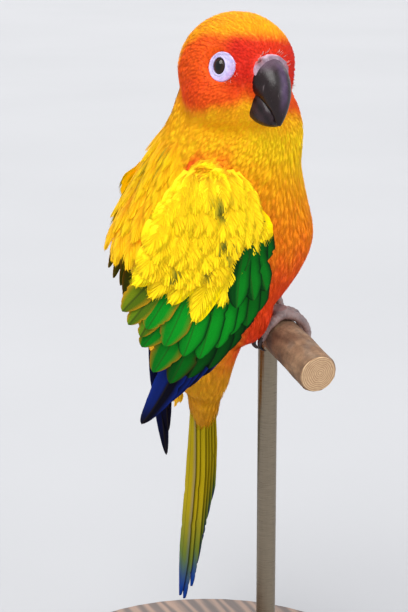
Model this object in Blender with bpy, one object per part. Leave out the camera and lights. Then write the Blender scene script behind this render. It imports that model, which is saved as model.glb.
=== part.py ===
"""A life-size sun conure on a short cut perch, held by a plain display stand.

The bird is laid out in its own space: the perch's axis at the origin, +X the way the body faces,
-Y its right side, +Z up its back. The whole bird then leans to its right about the perch.
Named sizes are in millimetres and degrees; MM turns them into Blender's metres.
"""

import math

import bmesh
import bpy
import numpy as np
from mathutils import Matrix, Vector

MM = 0.001
GAP = 0.3  # kept between the faces of neighbouring nodes

# The stand
BASE_RADIUS, BASE_HEIGHT, BASE_BEVEL = 64.0, 12.0, 2.0
PERCH_AT = Vector((19.0, -10.0, 145.0))
PERCH_RADIUS, PERCH_LENGTH = 7.0, 86.0
ROD_RADIUS = 3.5

# How the bird stands
LEAN = 11.0
HEAD_AT = Vector((-20.5, -3.0, 96.0))
HEAD_YAW, HEAD_PITCH, HEAD_ROLL = -75.2, -11.3, -8.3

# The trunk: height, front, back and half width of its cross sections, from under the tail to the nape
TRUNK = (
    (-24.0, -14.0, -32.0, 9.5),
    (-12.0, -12.5, -39.0, 13.5),
    (2.0, -8.0, -45.5, 18.5),
    (16.0, 3.5, -50.5, 22.5),
    (27.0, 10.5, -54.0, 24.5),
    (37.0, 12.8, -55.5, 25.0),
    (50.0, 8.8, -54.5, 25.0),
    (63.0, 5.2, -51.0, 24.0),
    (76.0, 5.0, -45.0, 22.0),
    (88.0, 0.0, -40.5, 17.5),
    (96.0, -8.0, -33.0, 10.0),
)
SADDLE_RADIUS = 11.6
NECK_FROM, NECK_TO = 66.0, 79.0
STATION = 6.0

# The head, in its own frame: +X out of the bill, +Y its left, +Z up
SKULL_AT, SKULL = (-1.5, 0.0, 0.0), (20.4, 19.5, 19.2)
FACE_AT, FACE = (6.5, 0.0, -2.5), (11.7, 14.4, 13.4)
CHEEK_AT, CHEEK = (-1.0, 0.0, -9.0), (16.4, 19.6, 14.0)
CHIN_AT, CHIN = (6.0, 0.0, -12.5), (8.5, 8.5, 7.0)
EYE_AT, EYE_RADIUS = (7.6, 12.0, -1.1), 4.0
EYE_AXIS = (0.42, 1.0, 0.0)
BARE_RING = (1.7, 4.6, 5.0)  # how deep, and half its length and height
LID_RADIUS, LID_THICK = 2.9, 0.65

# Bill sections: top point, bottom point (forward, up) and half width, from inside the face to the tip
BILL = (
    ((12.0, 3.0), (9.0, -8.0), 6.9),
    ((16.2, 2.5), (12.4, -10.4), 6.9),
    ((19.3, 0.9), (14.6, -12.4), 6.4),
    ((22.4, -2.6), (16.4, -13.8), 5.5),
    ((24.0, -7.4), (17.6, -15.2), 4.6),
    ((24.0, -12.4), (18.8, -16.4), 3.5),
    ((23.0, -17.0), (19.8, -18.0), 2.2),
    ((21.3, -20.9), (20.5, -20.4), 0.7),
)
CERE_TO = 1.85
LOWER_BILL = (
    ((8.0, -6.0), (8.0, -16.5), 5.7),
    ((12.5, -7.0), (11.5, -19.2), 5.7),
    ((16.8, -10.5), (15.0, -20.6), 5.0),
    ((19.4, -14.6), (17.4, -21.0), 3.8),
    ((20.6, -17.6), (19.2, -20.2), 1.9),
)
NOSTRIL_AT, NOSTRIL_RADIUS = (17.0, 4.8, -0.6), 0.75

# The folded wing's sheet
SHEET_OUT, SHEET_CURVE, SHEET_MID = 26.0, 0.016, -24.0

# Wing feathers, a tier at a time from the front one to the rear one: their tips (along the body, up),
# the first and last roots, the width, and how far out the first and last lie
PRIMARIES = (
    ((-33.0, -6.5), (-37.0, -12.5), (-41.0, -19.0), (-44.0, -25.5), (-46.0, -31.0)),
    ((-24.0, 34.0), (-36.0, 34.0)),
    8.0,
    (0.9, 3.2),
)
LONG_PRIMARIES = (
    ((-33.5, -20.0), (-36.5, -27.0), (-38.5, -34.0), (-40.0, -41.0), (-41.5, -47.0)),
    ((-24.0, 34.0), (-36.0, 34.0)),
    8.0,
    (0.9, 3.2),
)
SECONDARIES = (
    (
        (-24.5, 11.0),
        (-28.5, 4.5),
        (-32.5, -1.0),
        (-37.2, -5.0),
        (-42.3, -8.5),
        (-46.8, -4.0),
        (-51.0, 5.0),
    ),
    ((-19.5, 34.0), (-40.0, 34.0)),
    8.2,
    (2.9, 5.3),
)
GREEN_COVERTS = (
    (
        (-19.8, 19.0),
        (-23.4, 15.0),
        (-27.5, 12.5),
        (-31.0, 8.5),
        (-35.5, 4.5),
        (-40.0, 4.5),
        (-45.0, 7.5),
        (-50.0, 13.0),
    ),
    ((-20.0, 38.0), (-40.5, 39.0)),
    7.5,
    (4.6, 7.2),
)
YELLOW_COVERTS = (
    (
        (-21.5, 43.0),
        (-26.5, 34.5),
        (-31.6, 24.2),
        (-38.0, 17.8),
        (-44.2, 23.5),
        (-49.3, 24.5),
        (-53.0, 28.0),
    ),
    ((-22.5, 57.0), (-41.5, 51.0)),
    8.5,
    (6.4, 9.2),
)
MEDIAN_COVERTS = (
    ((-28.0, 45.0), (-34.5, 38.0), (-41.0, 32.0), (-47.0, 36.0)),
    ((-25.0, 60.0), (-38.5, 59.0)),
    9.5,
    (9.0, 10.8),
)
FRONT_COVERTS = (
    ((-19.6, 27.0), (-23.2, 24.5), (-27.4, 21.5)),
    ((-21.0, 47.0), (-27.0, 46.0)),
    7.0,
    (6.6, 8.6),
)
VANE_TILT = 0.45
LEFT_WING_AHEAD = 7.0
ARM = (  # height, front, back and how far out the shoulder's dome stands
    (30.0, -18.0, -43.0, 6.4),
    (38.0, -17.5, -46.0, 8.6),
    (47.0, -18.0, -47.5, 9.8),
    (56.0, -21.0, -47.0, 9.4),
    (63.0, -26.0, -44.0, 7.4),
    (69.0, -32.0, -39.0, 3.4),
)

# Mantle and scapular feathers, one row after another: height of the roots and of the tips,
# how far round from the back's middle, width, and lift at the root and the tip
MANTLE = (
    (64.0, 53.0, (-14.0, -7.0, 0.0, 7.0, 14.0), 8.6, (-1.6, 2.4)),
    (60.0, 45.0, (-16.5, -9.9, -3.3, 3.3, 9.9, 16.5), 8.4, (-1.6, 3.8)),
    (54.0, 36.5, (-11.5, -3.8, 3.8, 11.5), 8.6, (-1.4, 5.0)),
    (47.0, 29.0, (-6.8, 0.0, 6.8), 8.6, (-1.4, 6.0)),
)
RUMP = (-8.0, -33.0, 6, 4.8, 8.6)  # height of roots, of tips, how many, apart, width

# The tail, from its root plane down: its middle line in bird space, and its feathers a side
TAIL_LINE = ((-22.0, 2.0, -24.3), (-16.0, 13.0, -62.0), (-12.0, 22.5, -97.0), (-8.2, 32.0, -132.0))
TAIL_LENGTHS = (115.0, 104.0, 91.0, 78.0, 66.0, 56.0)
TAIL_WIDTH = 9.0
TAIL_ROOT = (9.0, 5.5, 12.0)

# Feet: how far out they stand, the toes' radius and the turn each reaches round the perch
FOOT_OUT, TOE_RADIUS = 12.0, 1.9
TOES = ((3.2, -14.0, 118.0), (-3.0, -12.0, 104.0), (3.4, 2.0, -104.0), (-2.8, 4.0, -86.0))


DRAWS = np.random.default_rng(2461)


def clear_scene():
    for old in list(bpy.data.objects):
        bpy.data.objects.remove(old)


def material(name, colour, roughness, metallic=0.0):
    made = bpy.data.materials.new(name)
    made.use_nodes = True
    shader = made.node_tree.nodes["Principled BSDF"]
    shader.inputs["Base Color"].default_value = (*colour, 1.0)
    shader.inputs["Roughness"].default_value = roughness
    shader.inputs["Metallic"].default_value = metallic
    return made


def make_object(name, verts, faces, finish=None):
    mesh = bpy.data.meshes.new(name)
    mesh.from_pydata([Vector(v) * MM for v in verts], [], faces)
    obj = bpy.data.objects.new(name, mesh)
    bpy.context.scene.collection.objects.link(obj)
    if finish:
        mesh.materials.append(finish)
    return obj


def blend_between(stations, height, column):
    """A smooth curve through one column of the stations, read at a height."""
    zs = [s[0] for s in stations]
    height = min(max(height, zs[0]), zs[-1])
    i = max(0, min(len(zs) - 2, sum(z <= height for z in zs) - 1))
    values = [s[column] for s in stations]

    def slope(k):
        lo, hi = max(k - 1, 0), min(k + 1, len(zs) - 1)
        return (values[hi] - values[lo]) / (zs[hi] - zs[lo])

    span = zs[i + 1] - zs[i]
    t = (height - zs[i]) / span
    return (
        (2 * t**3 - 3 * t**2 + 1) * values[i]
        + (t**3 - 2 * t**2 + t) * span * slope(i)
        + (3 * t**2 - 2 * t**3) * values[i + 1]
        + (t**3 - t**2) * span * slope(i + 1)
    )


def trunk_at(turn, height, out=0.0):
    """A point on the trunk: turn is in degrees from the breast round by the right side."""
    front, back = blend_between(TRUNK, height, 1), blend_between(TRUNK, height, 2)
    deep, wide = (front - back) / 2 + out, blend_between(TRUNK, height, 3) + out
    a = math.radians(turn)
    return Vector(((front + back) / 2 + deep * math.cos(a), -wide * math.sin(a), height))


def ring_mesh(name, rings, finish):
    """A closed tube through rings of equally many points, with a flat cap at each end."""
    n = len(rings[0])
    verts = [p for ring in rings for p in ring]
    faces = []
    for i in range(len(rings) - 1):
        for j in range(n):
            k = (j + 1) % n
            faces.append((i * n + j, i * n + k, (i + 1) * n + k, (i + 1) * n + j))
    faces.append(tuple(reversed(range(n))))
    faces.append(tuple(range((len(rings) - 1) * n, len(rings) * n)))
    obj = make_object(name, verts, faces, finish)
    face_outwards(obj)
    return obj


def face_outwards(obj):
    mesh = bmesh.new()
    mesh.from_mesh(obj.data)
    bmesh.ops.recalc_face_normals(mesh, faces=mesh.faces)
    if mesh.calc_volume(signed=True) < 0:
        bmesh.ops.reverse_faces(mesh, faces=mesh.faces)
    mesh.to_mesh(obj.data)
    mesh.free()


def ellipsoid(name, centre, radii, finish=None, segments=24, rings=14):
    mesh = bmesh.new()
    bmesh.ops.create_uvsphere(mesh, u_segments=segments, v_segments=rings, radius=MM)
    bmesh.ops.scale(mesh, vec=Vector(radii), verts=mesh.verts)
    bmesh.ops.translate(mesh, vec=Vector(centre) * MM, verts=mesh.verts)
    data = bpy.data.meshes.new(name)
    mesh.to_mesh(data)
    mesh.free()
    obj = bpy.data.objects.new(name, data)
    bpy.context.scene.collection.objects.link(obj)
    if finish:
        data.materials.append(finish)
    return obj


def moved(obj, matrix):
    obj.data.transform(matrix)
    return obj


def apply_modifiers(obj):
    graph = bpy.context.evaluated_depsgraph_get()
    fresh = bpy.data.meshes.new_from_object(obj.evaluated_get(graph))
    obj.modifiers.clear()
    obj.data = fresh


def is_closed(data):
    mesh = bmesh.new()
    mesh.from_mesh(data)
    closed = all(len(edge.link_faces) == 2 for edge in mesh.edges)
    mesh.free()
    return closed


def combine(obj, others, operation):
    """One Boolean on a collection of closed meshes, which are then removed."""
    group = bpy.data.collections.new("pieces")
    bpy.context.scene.collection.children.link(group)
    for other in others:
        bpy.context.scene.collection.objects.unlink(other)
        group.objects.link(other)
    before = obj.data
    for solver in ("EXACT", "MANIFOLD"):
        obj.data = before
        modifier = obj.modifiers.new("combine", "BOOLEAN")
        modifier.operation = operation
        modifier.solver = solver
        modifier.operand_type = "COLLECTION"
        modifier.collection = group
        apply_modifiers(obj)
        if is_closed(obj.data):
            break
    for other in others:
        bpy.data.objects.remove(other)
    bpy.data.collections.remove(group)
    return obj


def keep_largest(obj):
    """Drops all but the largest closed surface."""
    mesh = bmesh.new()
    mesh.from_mesh(obj.data)
    bmesh.ops.remove_doubles(mesh, verts=mesh.verts, dist=1e-7)
    bmesh.ops.triangulate(mesh, faces=mesh.faces)
    left, shells = set(mesh.faces), []
    while left:
        todo, shell = [left.pop()], []
        while todo:
            face = todo.pop()
            shell.append(face)
            for edge in face.edges:
                for other in edge.link_faces if len(edge.link_faces) == 2 else ():
                    if other in left:
                        left.discard(other)
                        todo.append(other)
        shells.append(shell)
    shells.sort(key=lambda s: sum(f.calc_area() for f in s))
    loose = [f for s in shells[:-1] for f in s]
    bmesh.ops.delete(mesh, geom=loose, context="FACES")
    mesh.to_mesh(obj.data)
    mesh.free()
    return obj


def trunk_mesh(name, low, high, finish, grow=0.0, segments=24):
    rings, steps = [], round((high - low) / STATION)
    for i in range(steps + 1):
        z = low + (high - low) * i / steps
        rings.append([trunk_at(360.0 * j / segments, z, grow) for j in range(segments)])
    return ring_mesh(name, rings, finish)


def vane(place, root, tip, width, lift, tilt=0.0, steps=3, risen=1.0, thick=0.5, point=0.35):
    """One feather vane on a curved sheet: place(across, along, out) gives its points.

    root and tip are (across, along) on the sheet; lift is how far out it lies at the root and the tip;
    tilt raises one edge so that neighbours overlap like shingles.
    """
    draw = DRAWS.uniform(-1.0, 1.0, 6)
    root = (root[0] + 0.5 * draw[0], root[1] + 0.8 * draw[1])
    tip = (tip[0] + 0.5 * draw[2], tip[1] + 0.8 * draw[3])
    width *= 1.0 + 0.05 * draw[4]
    bow = 0.3 * draw[5]
    run = Vector((tip[0] - root[0], tip[1] - root[1]))
    length = run.length
    ahead = run / length
    aside = Vector((-ahead.y, ahead.x))
    verts = []
    for layer in (0.0, -thick):
        for i in range(steps + 1):
            t = 1 - (1 - i / steps) ** 1.35
            full = min(1.0, 0.5 + 1.3 * t) * min(1.0, ((1 - t) / point + 0.12) ** 0.5)
            half = 0.5 * width * full
            rise = lift[0] + (lift[1] - lift[0]) * min(1.0, t / risen)
            for side in (-1.0, 0.0, 1.0):
                back = 0.3 * width * side * side if i == steps else 0.0
                flat = ahead * (length * t - back)
                flat += aside * (half * side + bow * math.sin(math.pi * t))
                up = rise + tilt * side * full + 0.15 * (1 - side * side)
                verts.append(place(root[0] + flat.x, root[1] + flat.y, up + layer))
    under = 3 * (steps + 1)
    faces = []
    for i in range(steps):
        for j in range(2):
            a, b, c, d = 3 * i + j, 3 * i + j + 1, 3 * i + j + 4, 3 * i + j + 3
            faces += [(a, b, c), (a, c, d)]
            faces += [(under + c, under + b, under + a), (under + d, under + c, under + a)]
        for j, turn in ((0, 1), (2, -1)):
            a, b = 3 * i + j, 3 * i + j + 3
            side_faces = [(a, b, under + b), (a, under + b, under + a)]
            faces += [f[::turn] for f in side_faces]
    for i, turn in ((0, -1), (steps, 1)):
        for j in range(2):
            a, b = 3 * i + j, 3 * i + j + 1
            faces += [f[::turn] for f in ((a, b, under + b), (a, under + b, under + a))]
    obj = make_object("vane", verts, faces)
    face_outwards(obj)
    return obj


def wing_sheet(side):
    """The sheet that a folded wing lies on: side is 1 for the left wing and -1 for the right."""

    ahead = LEFT_WING_AHEAD if side > 0 else 0.0

    def surface(x, z):
        x += ahead
        out = SHEET_OUT - 0.006 * max(0.0, 20.0 - z) ** 2 - 0.006 * max(0.0, z - 45.0) ** 2
        return Vector((x, side * (out - SHEET_CURVE * (x - SHEET_MID) ** 2), z))

    def place(x, z, out):
        here = surface(x, z)
        normal = (surface(x + 0.5, z) - here).cross(surface(x, z + 0.5) - here).normalized()
        if normal.y * side < 0:
            normal = -normal
        return here + normal * out

    return place


def back_sheet(round_mm, z, out):
    """The sheet over the back: distance round from its middle (left is positive), height, out."""
    return trunk_at(180.0 + math.degrees(round_mm / 31.0), z, out)


def arm_height(x, z):
    """How far the shoulder and folded arm stand out of the wing's sheet."""
    front, back, dome = (blend_between(ARM, z, k) for k in (1, 2, 3))
    t = min(1.0, max(0.0, (x - front) / (back - front)))
    return -1.5 + (dome + 1.5) * math.sin(math.pi * t) ** 0.6


def make_arm(side, finish):
    """The shoulder and folded arm, reaching into the trunk so that a cut can fit it to the flank."""
    place = wing_sheet(side)
    rings = []
    steps, across = 10, 9
    low, high = ARM[0][0], ARM[-1][0]
    for i in range(steps + 1):
        z = low + (high - low) * i / steps
        front, back = blend_between(ARM, z, 1), blend_between(ARM, z, 2)
        ring = []
        for j in range(across + 1):
            x = front + (back - front) * j / across
            ring.append(place(x, z, arm_height(x, z)))
        for j in range(across - 1, 0, -1):
            t = j / across
            ring.append(place(front + (back - front) * t, z, -9.0 * math.sin(math.pi * t) ** 0.5 - 1.5))
        rings.append(ring)
    return ring_mesh("arm", rings, finish)


def make_wing(name, side, primaries, finish):
    place = wing_sheet(side)
    wing = make_arm(side, finish)
    wing.name = name
    vanes = []
    for tips, roots, width, levels in (
        primaries,
        SECONDARIES,
        GREEN_COVERTS,
        FRONT_COVERTS,
        YELLOW_COVERTS,
        MEDIAN_COVERTS,
    ):
        for i, tip in enumerate(tips):
            t = i / (len(tips) - 1)
            root = [a + (b - a) * t for a, b in zip(*roots)]
            level = levels[0] + (levels[1] - levels[0]) * t
            sunk = min(level - 0.2, arm_height(*root) - 1.0)
            vanes.append(vane(place, root, tip, width, (sunk, level), VANE_TILT, 3, 0.5))
    combine(wing, vanes, "UNION")
    flank = trunk_mesh("flank", TRUNK[0][0], TRUNK[-1][0], None, GAP)
    combine(wing, [flank], "DIFFERENCE")
    return keep_largest(wing)


def make_torso(finish):
    torso = trunk_mesh("torso", TRUNK[0][0], NECK_FROM, finish)
    saddle = tube("saddle", [(0, -60, 0), (0, 60, 0)], [SADDLE_RADIUS] * 2, 32)
    combine(torso, [saddle], "DIFFERENCE")
    vanes = []
    for high, low, spots, width, lift in MANTLE:
        for i, spot in enumerate(spots):
            tip = (spot * 1.12, low + 0.12 * abs(spot))
            ends = (lift[0], lift[1] + 0.9 * (i % 2))
            vanes.append(vane(back_sheet, (spot, high), tip, width, ends, 0.0, 2))
    high, low, count, apart, width = RUMP
    for i in range(count):
        spot = (i - (count - 1) / 2) * apart
        rise = 1.0 + 0.9 * (i % 2)
        tip = (spot * 0.8, low + 0.5 * abs(spot))
        vanes.append(vane(back_sheet, (spot, high), tip, width, (-1.0, rise), 0.0, 2))
    combine(torso, vanes, "UNION")
    return keep_largest(torso)


def tube(name, line, radii, segments=10, finish=None, cap=False):
    """A round tube along a line of points, with its own radius at each."""
    line = [Vector(p) for p in line]
    rings, side = [], None
    for i, here in enumerate(line):
        ahead = (line[min(i + 1, len(line) - 1)] - line[max(i - 1, 0)]).normalized()
        if side is None:
            side = ahead.orthogonal().normalized()
        side = (side - ahead * side.dot(ahead)).normalized()
        up = ahead.cross(side)
        ring = []
        for j in range(segments):
            a = 2 * math.pi * j / segments
            ring.append(here + (side * math.cos(a) + up * math.sin(a)) * radii[i])
        rings.append(ring)
    return ring_mesh(name, rings, finish)


def head_matrix():
    turn = Matrix.Rotation(math.radians(-LEAN), 4, "X")
    turn = turn @ Matrix.Rotation(math.radians(HEAD_YAW), 4, "Z")
    turn = turn @ Matrix.Rotation(math.radians(HEAD_PITCH), 4, "Y")
    return turn @ Matrix.Rotation(math.radians(HEAD_ROLL), 4, "X")


def bill_rings(sections, first, last, steps, segments, grow=0.0):
    """Cross sections of the bill: from an outline of top points, bottom points and half widths."""
    rings = []
    stations = [(i, *s[0], *s[1], s[2]) for i, s in enumerate(sections)]
    for i in range(steps + 1):
        t = first + (last - first) * i / steps
        top = Vector((blend_between(stations, t, 1), 0, blend_between(stations, t, 2)))
        low = Vector((blend_between(stations, t, 3), 0, blend_between(stations, t, 4)))
        wide = blend_between(stations, t, 5) + grow
        middle, deep = (top + low) / 2, (top - low) / 2
        deep *= (deep.length + grow) / deep.length
        ring = []
        for j in range(segments):
            a = 2 * math.pi * j / segments
            flat = 1.0 if math.cos(a) > 0 else 0.82
            p = middle + deep * math.cos(a) * flat
            p.y = wide * math.copysign(abs(math.sin(a)) ** 0.85, math.sin(a))
            if i == 0:
                p.x -= grow
            ring.append(p)
        rings.append(ring)
    return rings


def make_bill(finish, cere_finish, place):
    upper = ring_mesh("bill_upper", bill_rings(BILL, CERE_TO + 0.08, len(BILL) - 1, 9, 16), finish)
    cere = ring_mesh("cere", bill_rings(BILL, 0.3, CERE_TO, 4, 16, 0.45), cere_finish)
    holes = []
    for side in (-1, 1):
        spot = Vector((NOSTRIL_AT[0], side * NOSTRIL_AT[1], NOSTRIL_AT[2]))
        out = Vector((0.4, side * 0.75, 0.5))
        holes.append(tube("hole", [spot - out * 1.6, spot + out * 3.0], [NOSTRIL_RADIUS] * 2, 10))
    combine(cere, holes, "DIFFERENCE")
    lower = ring_mesh("bill_lower", bill_rings(LOWER_BILL, 0, len(LOWER_BILL) - 1, 7, 14), finish)
    above = ring_mesh("above", bill_rings(BILL, 0.0, len(BILL) - 1, 12, 16, GAP), None)
    combine(lower, [above], "DIFFERENCE")
    above = ring_mesh("above", bill_rings(BILL, 0.3, CERE_TO, 4, 16, 0.45 + GAP), None)
    combine(lower, [above], "DIFFERENCE")
    for obj in (upper, cere, lower):
        keep_largest(obj)
        moved(obj, place)
    return upper, cere, lower


def make_head(finish, neck_finish, place, place_back):
    """Head and neck are shaped as one and then parted by a thin cut."""
    head = ellipsoid("head", SKULL_AT, SKULL, finish)
    others = [
        ellipsoid("face", FACE_AT, FACE),
        ellipsoid("cheek", CHEEK_AT, CHEEK),
        ellipsoid("chin", CHIN_AT, CHIN),
    ]
    trunk = trunk_mesh("trunk", 54.0, TRUNK[-1][0], None)
    moved(trunk, place_back)
    combine(head, others + [trunk], "UNION")
    blend = head.modifiers.new("blend", "REMESH")
    blend.mode = "VOXEL"
    blend.voxel_size = 1.1 * MM
    soften = head.modifiers.new("soften", "SMOOTH")
    soften.factor = 0.6
    soften.iterations = 12
    fewer = head.modifiers.new("fewer", "DECIMATE")
    fewer.ratio = 0.033
    apply_modifiers(head)
    moved(head, place)
    neck = head.copy()
    neck.data = head.data.copy()
    neck.name = "neck"
    bpy.context.scene.collection.objects.link(neck)
    neck.data.materials.clear()
    neck.data.materials.append(neck_finish)
    head.data.materials.clear()
    head.data.materials.append(finish)
    combine(neck, [box("cut", (-90, -60, 0), (60, 60, NECK_FROM + GAP))], "DIFFERENCE")
    combine(neck, [box("cut", (-90, -60, NECK_TO), (60, 60, 150))], "DIFFERENCE")
    combine(head, [box("cut", (-90, -60, 0), (60, 60, NECK_TO + GAP))], "DIFFERENCE")
    lids, holes, dishes = [], [], []
    for side in (-1, 1):
        centre = Vector((EYE_AT[0], side * EYE_AT[1], EYE_AT[2]))
        axis = Vector((EYE_AXIS[0], side * EYE_AXIS[1], EYE_AXIS[2])).normalized()
        across = axis.cross(Vector((0, 0, 1))).normalized()
        up = across.cross(axis)
        middle = centre + axis * (EYE_RADIUS**2 - LID_RADIUS**2) ** 0.5
        line = []
        for i in range(19):
            a = 2 * math.pi * i / 18
            line.append(middle + across * (LID_RADIUS * math.cos(a)) + up * (LID_RADIUS * 1.05 * math.sin(a)))
        lids.append(moved(ring_tube("lid", line[:-1], LID_THICK, 6), place))
        dish = ellipsoid("dish", (0, 0, 0), BARE_RING, None, 18, 10)
        turn = Matrix((axis, across, up)).transposed().to_4x4()
        moved(dish, Matrix.Translation((middle + axis * BARE_RING[0]) * MM) @ turn)
        face_outwards(dish)
        dishes.append(moved(dish, place))
        holes.append(moved(ellipsoid("hole", centre, [EYE_RADIUS + GAP] * 3, None, 16, 9), place))
    for dish in dishes:
        combine(head, [dish], "DIFFERENCE")
    combine(head, lids, "UNION")
    mouth = [
        ring_mesh("upper", bill_rings(BILL, 0.0, len(BILL) - 1, 9, 16, GAP), None),
        ring_mesh("cere", bill_rings(BILL, 0.2, CERE_TO, 4, 16, 0.45 + GAP), None),
        ring_mesh("lower", bill_rings(LOWER_BILL, 0, len(LOWER_BILL) - 1, 7, 14, GAP), None),
    ]
    for piece in mouth:
        moved(piece, place)
    for cut in holes + mouth:
        combine(head, [cut], "DIFFERENCE")
    return keep_largest(head), keep_largest(neck)


def ring_tube(name, line, radius, segments):
    """A closed ring of round section along a loop of points."""
    n, verts, faces = len(line), [], []
    middle = sum((Vector(p) for p in line), Vector()) / n
    for i in range(n):
        here = Vector(line[i])
        ahead = (Vector(line[(i + 1) % n]) - Vector(line[i - 1])).normalized()
        out = (here - middle).normalized()
        out = (out - ahead * out.dot(ahead)).normalized()
        up = ahead.cross(out)
        for j in range(segments):
            a = 2 * math.pi * j / segments
            verts.append(here + (out * math.cos(a) + up * math.sin(a)) * radius)
    for i in range(n):
        for j in range(segments):
            k, m = (j + 1) % segments, (i + 1) % n
            faces.append((i * segments + j, i * segments + k, m * segments + k, m * segments + j))
    obj = make_object(name, verts, faces)
    face_outwards(obj)
    return obj


def box(name, low, high):
    verts = [(x, y, z) for x in (low[0], high[0]) for y in (low[1], high[1]) for z in (low[2], high[2])]
    faces = [(0, 1, 3, 2), (4, 6, 7, 5), (0, 4, 5, 1), (2, 3, 7, 6), (0, 2, 6, 4), (1, 5, 7, 3)]
    obj = make_object(name, verts, faces)
    face_outwards(obj)
    return obj


def make_eye(name, side, finish, place):
    centre = (EYE_AT[0], side * EYE_AT[1], EYE_AT[2])
    return moved(ellipsoid(name, centre, [EYE_RADIUS] * 3, finish, 16, 9), place)


def tail_sheet(across, along, out):
    """The closed tail's sheet: across is to its left, along runs from its root, out is towards its back."""
    stations = []
    length = 0.0
    for i, p in enumerate(TAIL_LINE):
        if i:
            length += (Vector(p) - Vector(TAIL_LINE[i - 1])).length
        stations.append((length, *p))

    def centre(s):
        if s < 0:
            return Vector(TAIL_LINE[0]) + (centre(1.0) - centre(0.0)) * s
        return Vector([blend_between(stations, s, k) for k in (1, 2, 3)])

    ahead = (centre(along + 1.0) - centre(along)).normalized() if along < length - 1 else None
    if ahead is None:
        ahead = (centre(length) - centre(length - 1.0)).normalized()
    left = Vector((0, 1, 0))
    left = (left - ahead * left.dot(ahead)).normalized()
    normal = ahead.cross(left).normalized()
    if normal.x > 0:
        normal = -normal
    here = centre(min(along, length)) + ahead * max(0.0, along - length)
    return here + left * across + normal * out


def make_tail(finish):
    across, deep, length = TAIL_ROOT
    rings = []
    for i in range(6):
        t = i / 5
        size = 1.0 - 0.35 * t**2
        z = TAIL_LINE[0][2] if i == 0 else None
        ring = []
        for j in range(16):
            a = 2 * math.pi * j / 16
            p = tail_sheet(across * size * math.cos(a), length * t, deep * size * math.sin(a))
            if i == 0:
                p.z = z
            ring.append(p)
        rings.append(ring)
    tail = ring_mesh("tail", rings, finish)
    vanes = []
    for k, long in enumerate(TAIL_LENGTHS):
        for side in (-1, 1):
            off = (1.0, 4.6, 4.8, 5.0, 5.2, 5.4)[k] * side
            level = 3.6 - 0.95 * k - (0.95 if k else 0.0)
            if k == 0 and side < 0:
                level -= 0.95
            width = TAIL_WIDTH - (1.0 if k else 0.0)
            ends = (level, level - 0.4)
            vanes.append(vane(tail_sheet, (off * 0.8, 4.0), (off, long), width, ends, 0.0, 5))
    combine(tail, vanes, "UNION")
    return keep_largest(tail)


def make_foot(name, side, finish):
    y = side * FOOT_OUT
    round_perch = PERCH_RADIUS + GAP + TOE_RADIUS
    pieces = []
    for off, start, end in TOES:
        line, radii = [], []
        for i in range(6):
            t = i / 5
            a = math.radians(start + (end - start) * t)
            slim = TOE_RADIUS * (1.0 - 0.3 * t)
            far = PERCH_RADIUS + GAP + slim
            line.append((far * math.sin(a), y + off * (0.35 + 0.65 * min(1, 2 * t)) * 1.0, far * math.cos(a)))
            radii.append(slim)
        pieces.append(tube("toe", line, radii, 7))
        last = Vector(line[-1])
        turn = 1 if end > start else -1
        claw, radii = [], []
        for i in range(4):
            t = i / 3
            a = math.radians(end + turn * (38.0 * t - 4))
            far = PERCH_RADIUS + GAP + TOE_RADIUS * 0.7 * (1 - t) + 0.45 + 1.1 * math.sin(math.pi * t)
            claw.append((far * math.sin(a), last.y, far * math.cos(a)))
            radii.append(1.1 * (1 - t) + 0.25)
        pieces.append(tube("claw", claw, radii, 5))
    foot = tube(name, [(-1.5, y, round_perch - 1.2), (-2.0, y, SADDLE_RADIUS - 0.8)], [2.6, 2.9], 10, finish)
    combine(foot, pieces, "UNION")
    return keep_largest(foot)


def make_thigh(name, side, finish):
    thigh = ellipsoid(name, (-16.0, side * 15.5, 13.0), (9.5, 8.0, 13.0), finish, 20, 14)
    cuts = [
        trunk_mesh("flank", TRUNK[0][0], TRUNK[-1][0], None, GAP),
        tube("saddle", [(0, -60, 0), (0, 60, 0)], [SADDLE_RADIUS] * 2, 32),
    ]
    combine(thigh, cuts, "DIFFERENCE")
    return keep_largest(thigh)


def make_stand(wood, metal, bark):
    base = tube("stand_base", [(0, 0, 0), (0, 0, BASE_HEIGHT)], [BASE_RADIUS] * 2, 44, wood)
    rim = base.modifiers.new("rim", "BEVEL")
    rim.width = BASE_BEVEL * MM
    rim.segments = 2
    rim.limit_method = "ANGLE"
    apply_modifiers(base)
    at = PERCH_AT
    top = at.z - PERCH_RADIUS - GAP
    along = Matrix.Rotation(math.radians(LEAN), 4, "X") @ Vector((0, 1, 0))
    ends = [-along * PERCH_LENGTH / 2, along * PERCH_LENGTH / 2]
    perch = tube("stand_perch", [at + e for e in ends], [PERCH_RADIUS] * 2, 24, bark)
    rod = tube("stand_rod", [(at.x, at.y, BASE_HEIGHT + GAP), (at.x, at.y, at.z)], [ROD_RADIUS] * 2, 24, metal)
    cut = tube("cut", [at + e * 1.1 for e in ends], [PERCH_RADIUS + GAP] * 2, 24)
    combine(rod, [cut], "DIFFERENCE")
    keep_largest(rod)
    return base, rod, perch


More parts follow.
